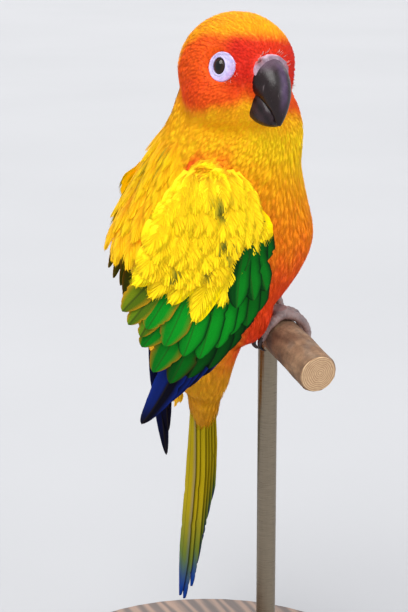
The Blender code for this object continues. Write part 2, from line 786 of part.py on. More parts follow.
def main():
    clear_scene()
    plumage = material("breast_feathers", (0.93, 0.42, 0.04), 0.75)
    neck_plumage = material("neck_feathers", (0.95, 0.55, 0.05), 0.75)
    head_plumage = material("head_feathers", (0.93, 0.33, 0.03), 0.75)
    wing_plumage = material("wing_feathers", (0.85, 0.62, 0.06), 0.65)
    tail_plumage = material("tail_feathers", (0.25, 0.32, 0.08), 0.6)
    thigh_plumage = material("thigh_feathers", (0.9, 0.2, 0.04), 0.75)
    horn = material("bill_horn", (0.03, 0.025, 0.03), 0.35)
    bare = material("cere_skin", (0.72, 0.55, 0.55), 0.55)
    eye = material("eye_glass", (0.02, 0.012, 0.01), 0.08)
    skin = material("foot_skin", (0.2, 0.17, 0.17), 0.6)
    wood = material("stand_wood", (0.2, 0.1, 0.05), 0.45)
    metal = material("stand_metal", (0.5, 0.45, 0.35), 0.35, 1.0)
    bark = material("perch_wood", (0.3, 0.2, 0.12), 0.8)

    bird = Matrix.Translation(PERCH_AT * MM) @ Matrix.Rotation(math.radians(LEAN), 4, "X")
    head_place = Matrix.Translation(HEAD_AT * MM) @ head_matrix()
    torso = make_torso(plumage)
    head, neck = make_head(head_plumage, neck_plumage, head_place, head_place.inverted())
    upper, cere, lower = make_bill(horn, bare, head_place)
    pieces = [torso, head, neck, upper, cere, lower]
    for name, side in (("eye_right", -1), ("eye_left", 1)):
        pieces.append(make_eye(name, side, eye, head_place))
    pieces.append(make_wing("wing_right", -1, PRIMARIES, wing_plumage))
    pieces.append(make_wing("wing_left", 1, LONG_PRIMARIES, wing_plumage))
    pieces.append(make_tail(tail_plumage))
    for name, side in (("thigh_right", -1), ("thigh_left", 1)):
        pieces.append(make_thigh(name, side, thigh_plumage))
    for name, side in (("foot_right", -1), ("foot_left", 1)):
        pieces.append(make_foot(name, side, skin))
    for piece in pieces:
        moved(piece, bird)
    make_stand(wood, metal, bark)


main()
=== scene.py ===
import math

import bmesh
import bpy
import numpy as np
from mathutils import Matrix, Vector
from mathutils.bvhtree import BVHTree


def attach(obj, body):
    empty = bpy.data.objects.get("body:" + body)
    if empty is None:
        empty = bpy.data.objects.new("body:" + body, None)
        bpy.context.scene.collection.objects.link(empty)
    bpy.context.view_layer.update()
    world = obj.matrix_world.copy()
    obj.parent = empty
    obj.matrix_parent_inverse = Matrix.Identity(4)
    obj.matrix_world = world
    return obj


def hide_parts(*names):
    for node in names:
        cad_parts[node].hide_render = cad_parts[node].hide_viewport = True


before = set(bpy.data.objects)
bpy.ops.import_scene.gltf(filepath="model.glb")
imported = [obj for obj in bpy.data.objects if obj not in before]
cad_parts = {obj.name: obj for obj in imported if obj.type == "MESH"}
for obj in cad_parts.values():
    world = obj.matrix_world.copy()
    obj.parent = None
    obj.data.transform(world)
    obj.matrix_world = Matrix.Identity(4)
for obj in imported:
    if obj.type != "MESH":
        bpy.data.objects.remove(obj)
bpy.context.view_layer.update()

draws = np.random.default_rng(417)
mm = 0.001

# lengths are in millimetres in the bird's own space: perch axis at the origin, +X forward, -Y its right
perchAt = Vector((19.0, -10.0, 145.0))
lean = 11.0
headAt = Vector((-20.5, -3.0, 96.0))
headTurns = ((-lean, "X"), (-75.2, "Z"), (-11.3, "Y"), (-8.3, "X"))  # the lean undone, then yaw, pitch and roll

birdMove = Matrix.Translation(perchAt * mm) @ Matrix.Rotation(math.radians(lean), 4, "X")
headMove = birdMove @ Matrix.Translation(headAt * mm)
for degrees, about in headTurns:
    headMove = headMove @ Matrix.Rotation(math.radians(degrees), 4, about)
birdPlace = np.array(birdMove @ Matrix.Scale(mm, 4))
headPlace = np.array(headMove @ Matrix.Scale(mm, 4))


def carried(place, points):  # a space's millimetres to world metres
    points = np.asarray(points, float)
    return points @ place[:3, :3].T + place[:3, 3]


def seenFrom(place, points):  # world metres to a space's millimetres
    back = np.linalg.inv(place)
    return points @ back[:3, :3].T + back[:3, 3]


def linear(red, green, blue):  # a screen colour, 0 to 255, as light
    c = np.array((red, green, blue), float) / 255.0
    return np.where(c <= 0.04045, c / 12.92, ((c + 0.055) / 1.055) ** 2.4)


def smooth(low, high, value):
    t = np.clip((value - low) / (high - low), 0.0, 1.0)
    return t * t * (3.0 - 2.0 * t)


def mixed(a, b, share):
    share = np.asarray(share)[..., None]
    return a * (1.0 - share) + b * share


def unit(rows):  # every row's way, one long
    return rows / np.linalg.norm(rows, axis=-1)[..., None]


def squareTo(way, axis):  # a way turned square to an axis
    return (way - axis * way.dot(axis)).normalized()


def ripple(points, size, seed):  # soft noise from a few crossed waves, about -1 to 1
    turn = np.random.default_rng(seed)
    total = np.zeros(len(points))
    for i in range(5):
        way = turn.normal(size=3)
        way *= (0.7 + 0.25 * i) / size / np.linalg.norm(way)
        total += np.sin(points @ way * 6.283 + turn.uniform(0, 6.283))
    return total / 2.6


def turns(count):  # the angles of a ring's points
    return [2 * math.pi * j / count for j in range(count)]


# camera, floor and light
studio = {
    "azimuth": -22.0, "elevation": 14.0,  # degrees
    "distance": 0.67, "sensor": 36.0, "pictureHeight": 612.0, "mmPerPixel": 0.357,
    "aside": -64.0, "above": 16.0,  # pixels from the perch to the middle of the frame
    "floorSize": 60.0, "sky": (0.96, 0.97, 1.0, 1.0), "skyStrength": 0.8,
    "lamps": (  # name, kind, way to it (right, up, back), how far, strength, colour, degrees of spread or metres wide
        ("key", "SUN", (-0.35, 0.9, 1.0), 1.1, 2.6, (1.0, 0.99, 0.97), 38.0),
        ("fill", "SUN", (0.9, 0.5, 0.8), 1.2, 1.0, (0.98, 0.98, 1.0), 60.0),
        ("rim", "SUN", (-0.2, 1.0, -0.7), 1.2, 0.8, (1.0, 1.0, 1.0), 40.0),
        ("catchHigh", "AREA", (0.05, 0.55, 1.0), 1.0, 0.5, (1.0, 1.0, 1.0), 0.14),
        ("catchLow", "AREA", (0.75, 0.2, 1.0), 1.0, 0.25, (1.0, 1.0, 1.0), 0.14)),
}


def setCamera():
    a, e = math.radians(studio["azimuth"]), math.radians(studio["elevation"])
    back = Vector((math.sin(a) * math.cos(e), -math.cos(a) * math.cos(e), math.sin(e)))
    right = Vector((math.cos(a), math.sin(a), 0))
    up = back.cross(right)
    scale = studio["mmPerPixel"] * mm
    at = perchAt * mm + right * (studio["aside"] * scale) + up * (studio["above"] * scale)
    at += back * studio["distance"]
    data = bpy.data.cameras.new("camera")
    data.sensor_fit = "VERTICAL"
    data.sensor_height = data.sensor_width = studio["sensor"]
    data.lens = studio["distance"] / scale * studio["sensor"] / studio["pictureHeight"]
    camera = bpy.data.objects.new("camera", data)
    bpy.context.scene.collection.objects.link(camera)
    turn = Matrix((right, up, back)).transposed().to_4x4()
    camera.matrix_world = Matrix.Translation(at) @ turn
    bpy.context.scene.camera = camera
    return right, up, back


def setLights(right, up, back):
    for name, kind, (a, b, c), far, power, colour, size in studio["lamps"]:
        data = bpy.data.lights.new(name, kind)
        data.energy, data.color = power, colour
        if kind == "SUN":
            data.angle = math.radians(size)
        else:
            data.shape, data.size = "DISK", size
        lamp = bpy.data.objects.new(name, data)
        bpy.context.scene.collection.objects.link(lamp)
        way = (right * a + up * b + back * c).normalized()
        lamp.location = perchAt * mm + way * far
        lamp.rotation_mode = "QUATERNION"
        lamp.rotation_quaternion = way.to_track_quat("Z", "Y")
    world = bpy.data.worlds.new("studio")
    world.use_nodes = True
    sky = world.node_tree.nodes["Background"].inputs
    sky["Color"].default_value = studio["sky"]
    sky["Strength"].default_value = studio["skyStrength"]
    bpy.context.scene.world = world
    bpy.context.scene.view_settings.view_transform = "Standard"


# shader maths
class Wire:
    def __init__(self, tree, socket=None):
        self.tree = tree
        self.socket = socket

    def node(self, kind, settings=None, values=None, out=0):
        made = self.tree.nodes.new("ShaderNode" + kind)
        for name, value in (settings or {}).items():
            if name == "stops":
                ramp = made.color_ramp
                for i, (place, colour) in enumerate(value):
                    stop = ramp.elements[i] if i < 2 else ramp.elements.new(place)
                    stop.position = place
                    stop.color = (*colour, 1.0)
            else:
                setattr(made, name, value)
        for name, value in (values or {}).items():
            socket = made.inputs[name]
            if isinstance(value, Wire):
                self.tree.links.new(value.socket, socket)
            else:
                socket.default_value = value
        return Wire(self.tree, made.outputs[out])

    def sum(self, operation, a, b=0.0):
        return self.node("Math", {"operation": operation}, {0: a, 1: b})

    def __add__(self, other):
        return self.sum("ADD", self, other)

    def __sub__(self, other):
        return self.sum("SUBTRACT", self, other)

    def __mul__(self, other):
        return self.sum("MULTIPLY", self, other)


def freshMaterial(name, roughness, **fixed):
    made = bpy.data.materials.new(name)
    made.use_nodes = True
    shader = made.node_tree.nodes["Principled BSDF"]
    shader.inputs["Roughness"].default_value = roughness
    for socket, value in fixed.items():
        shader.inputs[socket.replace("_", " ")].default_value = value
    return made, Wire(made.node_tree), shader


def feed(made, shader, **wires):
    for name, wire in wires.items():
        made.node_tree.links.new(wire.socket, shader.inputs[name.replace("_", " ")])
    return made


def colourMix(wire, share, a, b, blend="MIX"):
    return wire.node("Mix", {"data_type": "RGBA", "blend_type": blend}, {0: share, 6: a, 7: b}, 2)


def objectPlace(wire):
    return wire.node("TexCoord", out=3)


def squeezed(wire, place, *scale, **more):
    return wire.node("Mapping", values={"Vector": place, "Scale": scale, **more})


def attribute(wire, name, out=0):
    return wire.node("Attribute", {"attribute_name": name}, out=out)


def noise(wire, place, scale, detail, **more):
    return wire.node("TexNoise", values={"Vector": place, "Scale": scale, "Detail": detail, **more})


def edges(wire, place, scale):
    return wire.node("TexVoronoi", {"feature": "DISTANCE_TO_EDGE"}, {"Vector": place, "Scale": scale})


def ranged(wire, value, low, high, start=0.3, end=0.7):
    return wire.node("MapRange", values={0: value, 1: start, 2: end, 3: low, 4: high})


def ramp(wire, value, *stops):
    return wire.node("ValToRGB", {"stops": stops}, {0: value})


def bumped(wire, strength, distance, height):
    return wire.node("Bump", values={"Strength": strength, "Distance": distance, "Height": height})


def tinted(wire, shade):  # the painted colour, plain and shaded
    tint = attribute(wire, "tint")
    return tint, colourMix(wire, 1.0, tint, shade, "MULTIPLY")


def floorMaterial():
    made, wire, shader = freshMaterial("paleFloor", 0.8)
    grain = noise(wire, objectPlace(wire), 3.0, 4.0)
    return feed(made, shader, Base_Color=ramp(wire, grain, (0.3, (0.41, 0.415, 0.43)), (0.7, (0.43, 0.435, 0.45))))


def plumageMaterial(name, roughness):
    # painted light: the plumage glows with its own tint (Emission 0.24), which lifts the shade between the barbs
    made, wire, shader = freshMaterial(name, roughness, Specular_IOR_Level=0.25, Emission_Strength=0.24)
    fine = noise(wire, objectPlace(wire), 1400.0, 2.0)
    tint, colour = tinted(wire, ranged(wire, fine, 0.93, 1.06))
    return feed(made, shader, Base_Color=colour, Normal=attribute(wire, "lay", 1), Emission_Color=tint)


def vaneMaterial(name, roughness):
    # barbs slant out from the shaft; the vane attribute holds along, across and half width in mm
    # painted light: the vanes glow faintly with their own tint (Emission 0.08), which lifts their shade
    made, wire, shader = freshMaterial(name, roughness, Specular_IOR_Level=0.04, Emission_Strength=0.08)
    place = attribute(wire, "vane", 1)
    along = wire.node("SeparateXYZ", values={0: place})
    aside = wire.sum("ABSOLUTE", Wire(wire.tree, along.socket.node.outputs[1]))
    waver = noise(wire, place, 0.6, 2.0)
    barb = wire.sum("SINE", (along - aside * 0.8 + waver * 1.6) * 12.0)
    tint, colour = tinted(wire, barb * 0.09 + 0.96)
    shaft = ranged(wire, aside, 1.0, 0.0, 0.12, 0.3)
    colour = colourMix(wire, shaft * 0.45, colour, (0.02, 0.015, 0.008, 1.0))
    bump = bumped(wire, 0.35, 0.0001, barb * 0.5 + shaft * 2.0)
    return feed(made, shader, Base_Color=colour, Normal=bump, Emission_Color=tint)


def skinMaterial():
    # painted light: the skin between the feathers glows with its own tint (Emission 0.2), lifting the shade there; its
    # colour is the tint made 0.8 to 0.98 as bright at random
    made, wire, shader = freshMaterial("featheredSkin", 0.85, Emission_Strength=0.2)
    tint, colour = tinted(wire, ranged(wire, noise(wire, objectPlace(wire), 900.0, 3.0), 0.8, 0.98))
    return feed(made, shader, Base_Color=colour, Emission_Color=tint)


def hornMaterial():  # dark horn with fine growth lines and a few pale flakes
    made, wire, shader = freshMaterial("darkHorn", 0.35, Specular_IOR_Level=0.3)
    place = objectPlace(wire)
    lines = noise(wire, place, 420.0, 5.0, Roughness=0.65)
    blotch = noise(wire, place, 150.0, 3.0)
    colour = tinted(wire, ranged(wire, blotch, 0.75, 1.25))[1]
    drawnOut = squeezed(wire, place, 1.0, 1.0, 0.22, Rotation=(0.3, 0.2, 0.5))
    flakes = ranged(wire, noise(wire, drawnOut, 620.0, 3.0, Roughness=0.7), 0.0, 0.5, 0.6, 0.68)
    flakes = flakes * ranged(wire, blotch, 0.0, 1.0, 0.5, 0.62)
    colour = colourMix(wire, flakes, colour, (0.2, 0.16, 0.17, 1.0))
    bump = bumped(wire, 0.3, 0.0002, lines + flakes * 0.6)
    return feed(made, shader, Base_Color=colour, Roughness=ranged(wire, lines, 0.22, 0.4), Normal=bump)


def bareMaterial(name, roughness, scale):
    made, wire, shader = freshMaterial(name, roughness, Subsurface_Weight=0.1)
    shader.inputs["Subsurface Radius"].default_value = (0.001, 0.0006, 0.0005)
    place = objectPlace(wire)
    cells, fine = edges(wire, place, scale), noise(wire, place, scale * 0.6, 4.0)
    colour = tinted(wire, ranged(wire, fine, 0.88, 1.08))[1]
    return feed(made, shader, Base_Color=colour, Normal=bumped(wire, 0.4, 0.0002, cells + fine * 0.4))


def eyeMaterial():
    made, wire, shader = freshMaterial("glassEye", 0.05, Specular_IOR_Level=0.35)
    fine = noise(wire, objectPlace(wire), 900.0, 4.0)
    return feed(made, shader, Base_Color=tinted(wire, ranged(wire, fine, 0.6, 1.4))[1])


def woodMaterial():
    made, wire, shader = freshMaterial("turnedWalnut", 0.38, Coat_Weight=0.25, Coat_Roughness=0.25)
    place = squeezed(wire, objectPlace(wire), 1.0, 0.12, 1.0)
    bands = wire.node("TexWave", {"bands_direction": "X"}, {
        "Vector": place, "Scale": 60.0, "Distortion": 6.0, "Detail": 3.0, "Detail Scale": 2.0})
    mask = bands * 0.7 + noise(wire, place, 900.0, 5.0) * 0.3
    colour = ramp(wire, mask, (0.2, (0.055, 0.022, 0.01)), (0.8, (0.2, 0.095, 0.042)))
    rough = ranged(wire, mask, 0.5, 0.33, 0.0, 1.0)
    return feed(made, shader, Base_Color=colour, Roughness=rough, Normal=bumped(wire, 0.12, 0.0002, mask))


def metalMaterial():
    made, wire, shader = freshMaterial("brushedBronze", 0.35, Metallic=1.0)
    fine = noise(wire, squeezed(wire, objectPlace(wire), 1.0, 1.0, 30.0), 160.0, 3.0)
    colour = ramp(wire, fine, (0.3, (0.2, 0.165, 0.12)), (0.7, (0.27, 0.225, 0.165)))
    return feed(made, shader, Base_Color=colour, Roughness=ranged(wire, fine, 0.25, 0.45))


def barkMaterial():
    made, wire, shader = freshMaterial("perchBark", 0.85)
    place = objectPlace(wire)
    cracks = edges(wire, squeezed(wire, place, 1.0, 0.35, 1.0), 330.0)
    fine = noise(wire, place, 500.0, 6.0, Roughness=0.7)
    colour = tinted(wire, ranged(wire, fine, 0.55, 1.35, 0.25, 0.75))[1]
    return feed(made, shader, Base_Color=colour, Normal=bumped(wire, 0.7, 0.0005, cracks * 1.5 + fine))


def ringedMaterial():  # growth rings on the perch's cut ends
    made, wire, shader = freshMaterial("cutWood", 0.8)
    across = wire.node("SeparateXYZ", values={0: attribute(wire, "vane", 1)}, out=1)
    place = objectPlace(wire)
    rings = wire.sum("SINE", (across + noise(wire, place, 260.0, 3.0) * 1.1) * 9.0)
    rays = noise(wire, place, 900.0, 4.0)
    mask = rings * 0.3 + rays * 0.5 + 0.25
    tone = ramp(wire, mask, (0.15, (0.30, 0.17, 0.085)), (0.85, (0.56, 0.38, 0.22)))
    return feed(made, shader, Base_Color=tone, Normal=bumped(wire, 0.3, 0.0002, rings * 0.3 + rays))


# making and finishing pieces
def clearChoice():
    if bpy.context.object and bpy.context.object.mode != "OBJECT":
        bpy.ops.object.mode_set(mode="OBJECT")
    bpy.ops.object.select_all(action="DESELECT")


def onlyChosen(obj):
    clearChoice()
    obj.select_set(True)
    bpy.context.view_layer.objects.active = obj


def edited(obj, operator, **options):  # one mesh operator on the whole object
    onlyChosen(obj)
    bpy.ops.object.mode_set(mode="EDIT")
    bpy.ops.mesh.select_all(action="SELECT")
    operator(**options)
    bpy.ops.object.mode_set(mode="OBJECT")
    return obj


def loft(name, rings, place=birdPlace):
    # a disc is extruded ring by ring, and each new rim is laid on the next outline
    rings = [carried(place, ring) for ring in rings]
    clearChoice()
    bpy.ops.mesh.primitive_circle_add(vertices=len(rings[0]), radius=0.01, fill_type="NGON")
    obj = bpy.context.object
    obj.name = name
    bpy.ops.object.mode_set(mode="EDIT")
    work = bmesh.from_edit_mesh(obj.data)
    work.verts.ensure_lookup_table()
    order = [loop.vert for loop in work.faces[:][0].loops]
    for i, vert in enumerate(order):
        vert.co = rings[0][i]
    for ring in rings[1:]:
        before = {tuple(round(c, 7) for c in vert.co): i for i, vert in enumerate(order)}
        bmesh.update_edit_mesh(obj.data)
        bpy.ops.mesh.extrude_region_move()
        work = bmesh.from_edit_mesh(obj.data)
        order = [None] * len(ring)
        for vert in work.verts:
            if vert.select:
                order[before[tuple(round(c, 7) for c in vert.co)]] = vert
        for i, vert in enumerate(order):
            vert.co = ring[i]
    bmesh.update_edit_mesh(obj.data)
    return edited(obj, bpy.ops.mesh.normals_make_consistent, inside=False)


def ballAt(name, centre, radii, place, segments=32, rings=20):
    clearChoice()
    bpy.ops.mesh.primitive_uv_sphere_add(segments=segments, ring_count=rings, radius=1.0)
    obj = bpy.context.object
    obj.name = name
    size = Matrix.Diagonal((*radii, 1.0))
    obj.data.transform(Matrix(place.tolist()) @ Matrix.Translation(centre) @ size)
    return obj


def applyAll(obj):
    onlyChosen(obj)
    for modifier in list(obj.modifiers):
        bpy.ops.object.modifier_apply(modifier=modifier.name)


def joined(pieces, name):
    clearChoice()
    for piece in pieces:
        piece.select_set(True)
    bpy.context.view_layer.objects.active = pieces[0]
    if len(pieces) > 1:
        bpy.ops.object.join()
    obj = bpy.context.object
    obj.name = name
    return obj


def blended(obj, voxel, rounds):  # overlapping parts made one surface, then softened
    blend = obj.modifiers.new("blend", "REMESH")
    blend.mode, blend.voxel_size = "VOXEL", voxel * mm
    soften = obj.modifiers.new("soften", "SMOOTH")
    soften.factor, soften.iterations = 0.5, rounds
    applyAll(obj)


def finished(obj, finish, slot, replaced=(), angle=40.0):
    obj.data.materials.clear()
    obj.data.materials.append(finish)
    if angle:
        onlyChosen(obj)
        bpy.ops.object.shade_smooth_by_angle(angle=math.radians(angle))
    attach(obj, "root")
    if replaced:
        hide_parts(*replaced)
    clearChoice()


def rowsTo(layer, field, rows, kind=np.float32):
    layer.foreach_set(field, np.ascontiguousarray(rows, kind).ravel())


def paint(obj, tint):
    layer = obj.data.attributes.new("tint", "FLOAT_COLOR", "POINT")
    full = np.ones((len(obj.data.vertices), 4), np.float32)
    full[:, :3] = tint
    rowsTo(layer.data, "color", full)


def keep(obj, name, rows):  # a vector for each point, for the materials
    rowsTo(obj.data.attributes.new(name, "FLOAT_VECTOR", "POINT").data, "vector", rows)


def meshFromArrays(name, points, triangles, tint, uv=None, **vectors):
    mesh = bpy.data.meshes.new(name)
    count = len(triangles)
    mesh.vertices.add(len(points))
    rowsTo(mesh.vertices, "co", points)
    mesh.loops.add(count * 3)
    rowsTo(mesh.loops, "vertex_index", triangles, np.int32)
    mesh.polygons.add(count)
    rowsTo(mesh.polygons, "loop_start", np.arange(0, count * 3, 3), np.int32)
    rowsTo(mesh.polygons, "loop_total", np.full(count, 3), np.int32)
    mesh.update(calc_edges=True)
    obj = bpy.data.objects.new(name, mesh)
    bpy.context.scene.collection.objects.link(obj)
    paint(obj, tint)
    for label, rows in vectors.items():
        keep(obj, label, rows)
    if uv is not None:
        rowsTo(mesh.uv_layers.new(name="OFBake").data, "uv", np.asarray(uv, np.float32)[np.asarray(triangles).ravel()])
    return obj


def rowsOf(data, field, width, kind=np.float32):
    rows = np.empty(len(data) * width, kind)
    data.foreach_get(field, rows)
    return rows.reshape(-1, width)


def pointsOf(obj):
    return rowsOf(obj.data.vertices, "co", 3).astype(float)


def mottled(obj, space, dark, light, size, seed):  # one screen colour drifting into another
    p = seenFrom(space, pointsOf(obj))
    paint(obj, mixed(linear(*dark), linear(*light), 0.5 + 0.5 * ripple(p, size, seed)).clip(0, 1))


def moved(obj, space, points):
    rowsTo(obj.data.vertices, "co", carried(space, points))
    obj.data.update()


def treeOf(*objects):
    points, faces = [], []
    for obj in objects:
        start = len(points)
        points += [tuple(p) for p in pointsOf(obj)]
        faces += [tuple(v + start for v in f.vertices) for f in obj.data.polygons]
    return BVHTree.FromPolygons(points, faces)


def alongTable(table, height, *columns):  # a smooth curve through columns of a table, read at a height
    keys = [row[0] for row in table]
    height = min(max(height, keys[0]), keys[-1])
    i = max(0, min(len(keys) - 2, sum(k <= height for k in keys) - 1))
    span = keys[i + 1] - keys[i]
    t = (height - keys[i]) / span
    read = []
    for column in columns:
        values = [row[column] for row in table]
        slopes = []
        for k in (i, i + 1):
            low, high = max(k - 1, 0), min(k + 1, len(keys) - 1)
            slopes.append((values[high] - values[low]) / (keys[high] - keys[low]))
        first = (2 * t**3 - 3 * t**2 + 1) * values[i] + (t**3 - 2 * t**2 + t) * span * slopes[0]
        read.append(first + (3 * t**2 - 2 * t**3) * values[i + 1] + (t**3 - t**2) * span * slopes[1])
    return read


# the body's shape
body = {
    "sections": (  # height, front, back, half width
        (-24.0, -14.0, -32.0, 9.5), (-12.0, -12.5, -39.0, 13.5), (2.0, -8.0, -45.5, 18.5),
        (16.0, 3.5, -50.5, 22.5), (27.0, 10.5, -54.0, 24.5), (37.0, 12.8, -55.5, 25.0),
        (50.0, 8.8, -53.5, 25.0), (63.0, 5.2, -49.0, 23.5), (76.0, 5.0, -42.5, 21.2),
        (88.0, 0.0, -39.0, 17.2), (96.0, -8.0, -33.0, 10.0)),
    "coat": 1.4, "thighCoat": 1.2, "armCoat": 1.3,  # how deep the skin lies under the solids
    "thigh": ((-16.0, 15.5, 13.0), (9.5, 8.0, 13.0)),  # centre, radii
    "tailRoot": (8.2, 4.8, -6.0, 24.0),  # half width, half depth, start and length along the tail
    "saddle": 11.6,  # bare of coat this near the perch's axis
    "grain": 0.95,  # voxel of the skin
}
headShape = {
    "lumps": (  # centre, radii
        ((-1.5, 0.0, 0.0), (20.4, 19.5, 19.2)), ((6.5, 0.0, -2.5), (10.9, 14.0, 12.9)),
        ((-1.0, 0.0, -9.0), (16.4, 19.6, 14.0)), ((6.0, 0.0, -12.5), (8.5, 8.5, 7.0))),
    "coat": 0.7,
    "eye": (7.4, 12.0, -1.1), "eyeAxis": (0.42, 1.0, 0.0),
    "eyeRadius": 4.0, "lidRadius": 2.8, "bareRadius": 4.35,
    "bareShift": {-1: (0.85, -0.3), 1: (-0.7, -0.3)},  # right and left: forward and up
}
wing = {
    "out": 26.0, "curve": 0.016, "middle": -24.0, "leftAhead": 7.0,
    "arm": (  # height, front, back, how far out the dome stands
        (30.0, -18.0, -43.0, 6.4), (38.0, -17.5, -46.0, 8.6), (47.0, -18.0, -47.5, 9.8),
        (56.0, -21.0, -47.0, 9.4), (63.0, -26.0, -44.0, 7.4), (69.0, -32.0, -39.0, 3.4)),
}


def trunkPoint(turn, height, out=0.0):
    front, back, wide = alongTable(body["sections"], height, 1, 2, 3)
    deep, wide = (front - back) / 2 + out, wide + out
    a = math.radians(turn)
    return ((front + back) / 2 + deep * math.cos(a), -wide * math.sin(a), height)


def wingSheet(side):
    ahead = wing["leftAhead"] if side > 0 else 0.0

    def surface(x, z):
        x = x + ahead
        out = wing["out"] - 0.006 * max(0.0, 20.0 - z) ** 2 - 0.006 * max(0.0, z - 45.0) ** 2
        return Vector((x, side * (out - wing["curve"] * (x - wing["middle"]) ** 2), z))

    def place(x, z, out):
        here = surface(x, z)
        normal = (surface(x + 0.5, z) - here).cross(surface(x, z + 0.5) - here).normalized()
        if normal.y * side < 0:
            normal = -normal
        return here + normal * out

    return place


def backSheet(across, z, out):
    return Vector(trunkPoint(180.0 + math.degrees(across / 31.0), z, out))


def armHeight(x, z):
    front, back, dome = alongTable(wing["arm"], z, 1, 2, 3)
    t = min(1.0, max(0.0, (x - front) / (back - front)))
    return -1.5 + (dome + 1.5) * math.sin(math.pi * t) ** 0.6


def trunkRings(rows=40, columns=48):
    low, high = body["sections"][0][0] + 1.0, body["sections"][-1][0] - 0.5
    heights = [low + (high - low) * i / rows for i in range(rows + 1)]
    return [[trunkPoint(360.0 * j / columns, z, -body["coat"]) for j in range(columns)] for z in heights]


def armRings(side, steps=14):  # the shoulder and folded arm, domed outside and sunk into the trunk inside
    place, rings = wingSheet(side), []
    low, high = wing["arm"][0][0], wing["arm"][-1][0]
    for i in range(steps + 1):
        z = low + (high - low) * i / steps
        front, back = alongTable(wing["arm"], z, 1, 2)
        ring = []
        for j in range(steps + 1):
            x = front + (back - front) * j / steps
            ring.append(place(x, z, armHeight(x, z) - body["armCoat"]))
        for j in range(steps - 1, 0, -1):
            t = j / steps
            ring.append(place(front + (back - front) * t, z, -9.0 * math.sin(math.pi * t) ** 0.5 - 3.0))
        rings.append([tuple(p) for p in ring])
    return rings


def tailRootRings(steps=8):
    wide, deep, start, long = body["tailRoot"]
    rings = []
    for i in range(steps + 1):
        s = start + long * i / steps
        thin = 1.0 - 0.5 * max(0.0, s / 18.0) ** 2
        rings.append([tuple(tailSheet(wide * thin * math.cos(a), s, deep * thin * math.sin(a))) for a in turns(20)])
    return rings


def pressEyeSockets(skin):  # a shallow dish round each eye, in which the bare ring lies
    p = seenFrom(headPlace, pointsOf(skin))
    plane = (headShape["eyeRadius"] ** 2 - headShape["lidRadius"] ** 2) ** 0.5
    for side in (-1, 1):
        centre, axis, ahead, up = (np.array(v) for v in eyeFrame(side))
        forward, above = headShape["bareShift"][side]
        middle = centre + ahead * forward + up * above
        far = np.hypot((p - middle) @ ahead, (p - middle) @ up)
        high = (p - centre) @ axis
        most = plane - 0.75 + 1.1 * np.clip(far - 4.4, 0.0, 9.0) ** 1.25
        over = np.where(high > 0.0, np.clip(high - most, 0.0, 9.0), 0.0)
        p -= over[:, None] * axis
    moved(skin, headPlace, p)


def makeSkin():
    parts = [loft("trunk", trunkRings())]
    for centre, radii in headShape["lumps"]:
        parts.append(ballAt("lump", centre, [r - headShape["coat"] for r in radii], headPlace))
    (x, y, z), radii = body["thigh"]
    for side in (-1, 1):
        parts.append(ballAt("thigh", (x, side * y, z), [r - body["thighCoat"] for r in radii], birdPlace))
        parts.append(loft("arm", armRings(side)))
    parts.append(loft("tailRoot", tailRootRings()))
    skin = joined(parts, "skin")
    blended(skin, body["grain"], 10)
    pressEyeSockets(skin)
    edited(skin, bpy.ops.uv.smart_project, angle_limit=math.radians(60.0), island_margin=0.01)
    skin.data.uv_layers[0].name = "OFBake"
    paint(skin, markings(pointsOf(skin)))
    finished(skin, skinMaterial(), "torso_feathers", ["torso", "neck", "head", "thigh_right", "thigh_left"], 60)
    print("skin faces", len(skin.data.polygons))
    return skin


tail = {
    "line": ((-22.0, 2.0, -24.3), (-16.0, 13.0, -62.0), (-12.0, 22.5, -97.0), (-8.2, 32.0, -132.0)),
    "lengths": (115.0, 104.0, 91.0, 78.0, 66.0, 56.0),
    "asides": (1.0, 4.6, 4.8, 5.0, 5.2, 5.4),
    "width": 9.0,
}


def tailSheet(across, along, out):
    stations, length = [], 0.0
    for i, p in enumerate(tail["line"]):
        if i:
            length += (Vector(p) - Vector(tail["line"][i - 1])).length
        stations.append((length, *p))

    def centre(s):
        if s < 0:
            return Vector(tail["line"][0]) + (centre(1.0) - centre(0.0)) * s
        return Vector(alongTable(stations, s, 1, 2, 3))

    reach = min(along, length - 1.0)
    ahead = (centre(reach + 1.0) - centre(reach)).normalized()
    left = squareTo(Vector((0, 1, 0)), ahead)
    normal = ahead.cross(left).normalized()
    if normal.x > 0:
        normal = -normal
    return centre(min(along, length)) + ahead * max(0.0, along - length) + left * across + normal * out


# markings, the same on the skin and on the feathers over it
shades = {
    "crown": linear(255, 160, 0), "face": linear(240, 84, 6), "lore": linear(206, 22, 2),
    "nape": linear(250, 140, 8), "throat": linear(255, 176, 4), "neck": linear(255, 204, 1),
    "breast": linear(254, 134, 1), "belly": linear(232, 66, 8), "vent": linear(212, 46, 10),
    "mantle": linear(255, 184, 2), "streak": linear(236, 96, 8), "coverts": linear(255, 212, 0),
    "crease": linear(240, 88, 2), "rump": linear(236, 170, 16), "undertail": linear(220, 150, 20),
    "olive": linear(112, 108, 10), "smudge": linear(52, 74, 10), "brightGreen": linear(12, 136, 30),
    "darkGreen": linear(8, 66, 18), "blackGreen": linear(5, 22, 12), "oliveEdge": linear(176, 128, 18),
    "night": linear(8, 8, 22), "violet": linear(14, 36, 112), "blue": linear(14, 60, 150),
    "tailOlive": linear(176, 154, 14), "tailGreen": linear(40, 104, 48), "tailUnder": linear(88, 82, 30),
}


def armShare(birdPoints):  # 1 on the shoulder and folded arm, 0 off it
    share = np.zeros(len(birdPoints))
    for i, (x, y, z) in enumerate(birdPoints):
        if not wing["arm"][0][0] - 4 < z < wing["arm"][-1][0] + 3 or abs(y) < 15.0:
            continue
        x += wing["leftAhead"] if y > 0 else 0.0
        front, back = alongTable(wing["arm"], z, 1, 2)
        t = (x - front) / (back - front)
        if -0.1 < t < 1.1:
            inside = min(t + 0.02, 1.02 - t) * (front - back)
            share[i] = min(1.0, max(0.0, inside / 1.2)) * min(1.0, max(0.0, (70.5 - z) / 1.6))
    return share


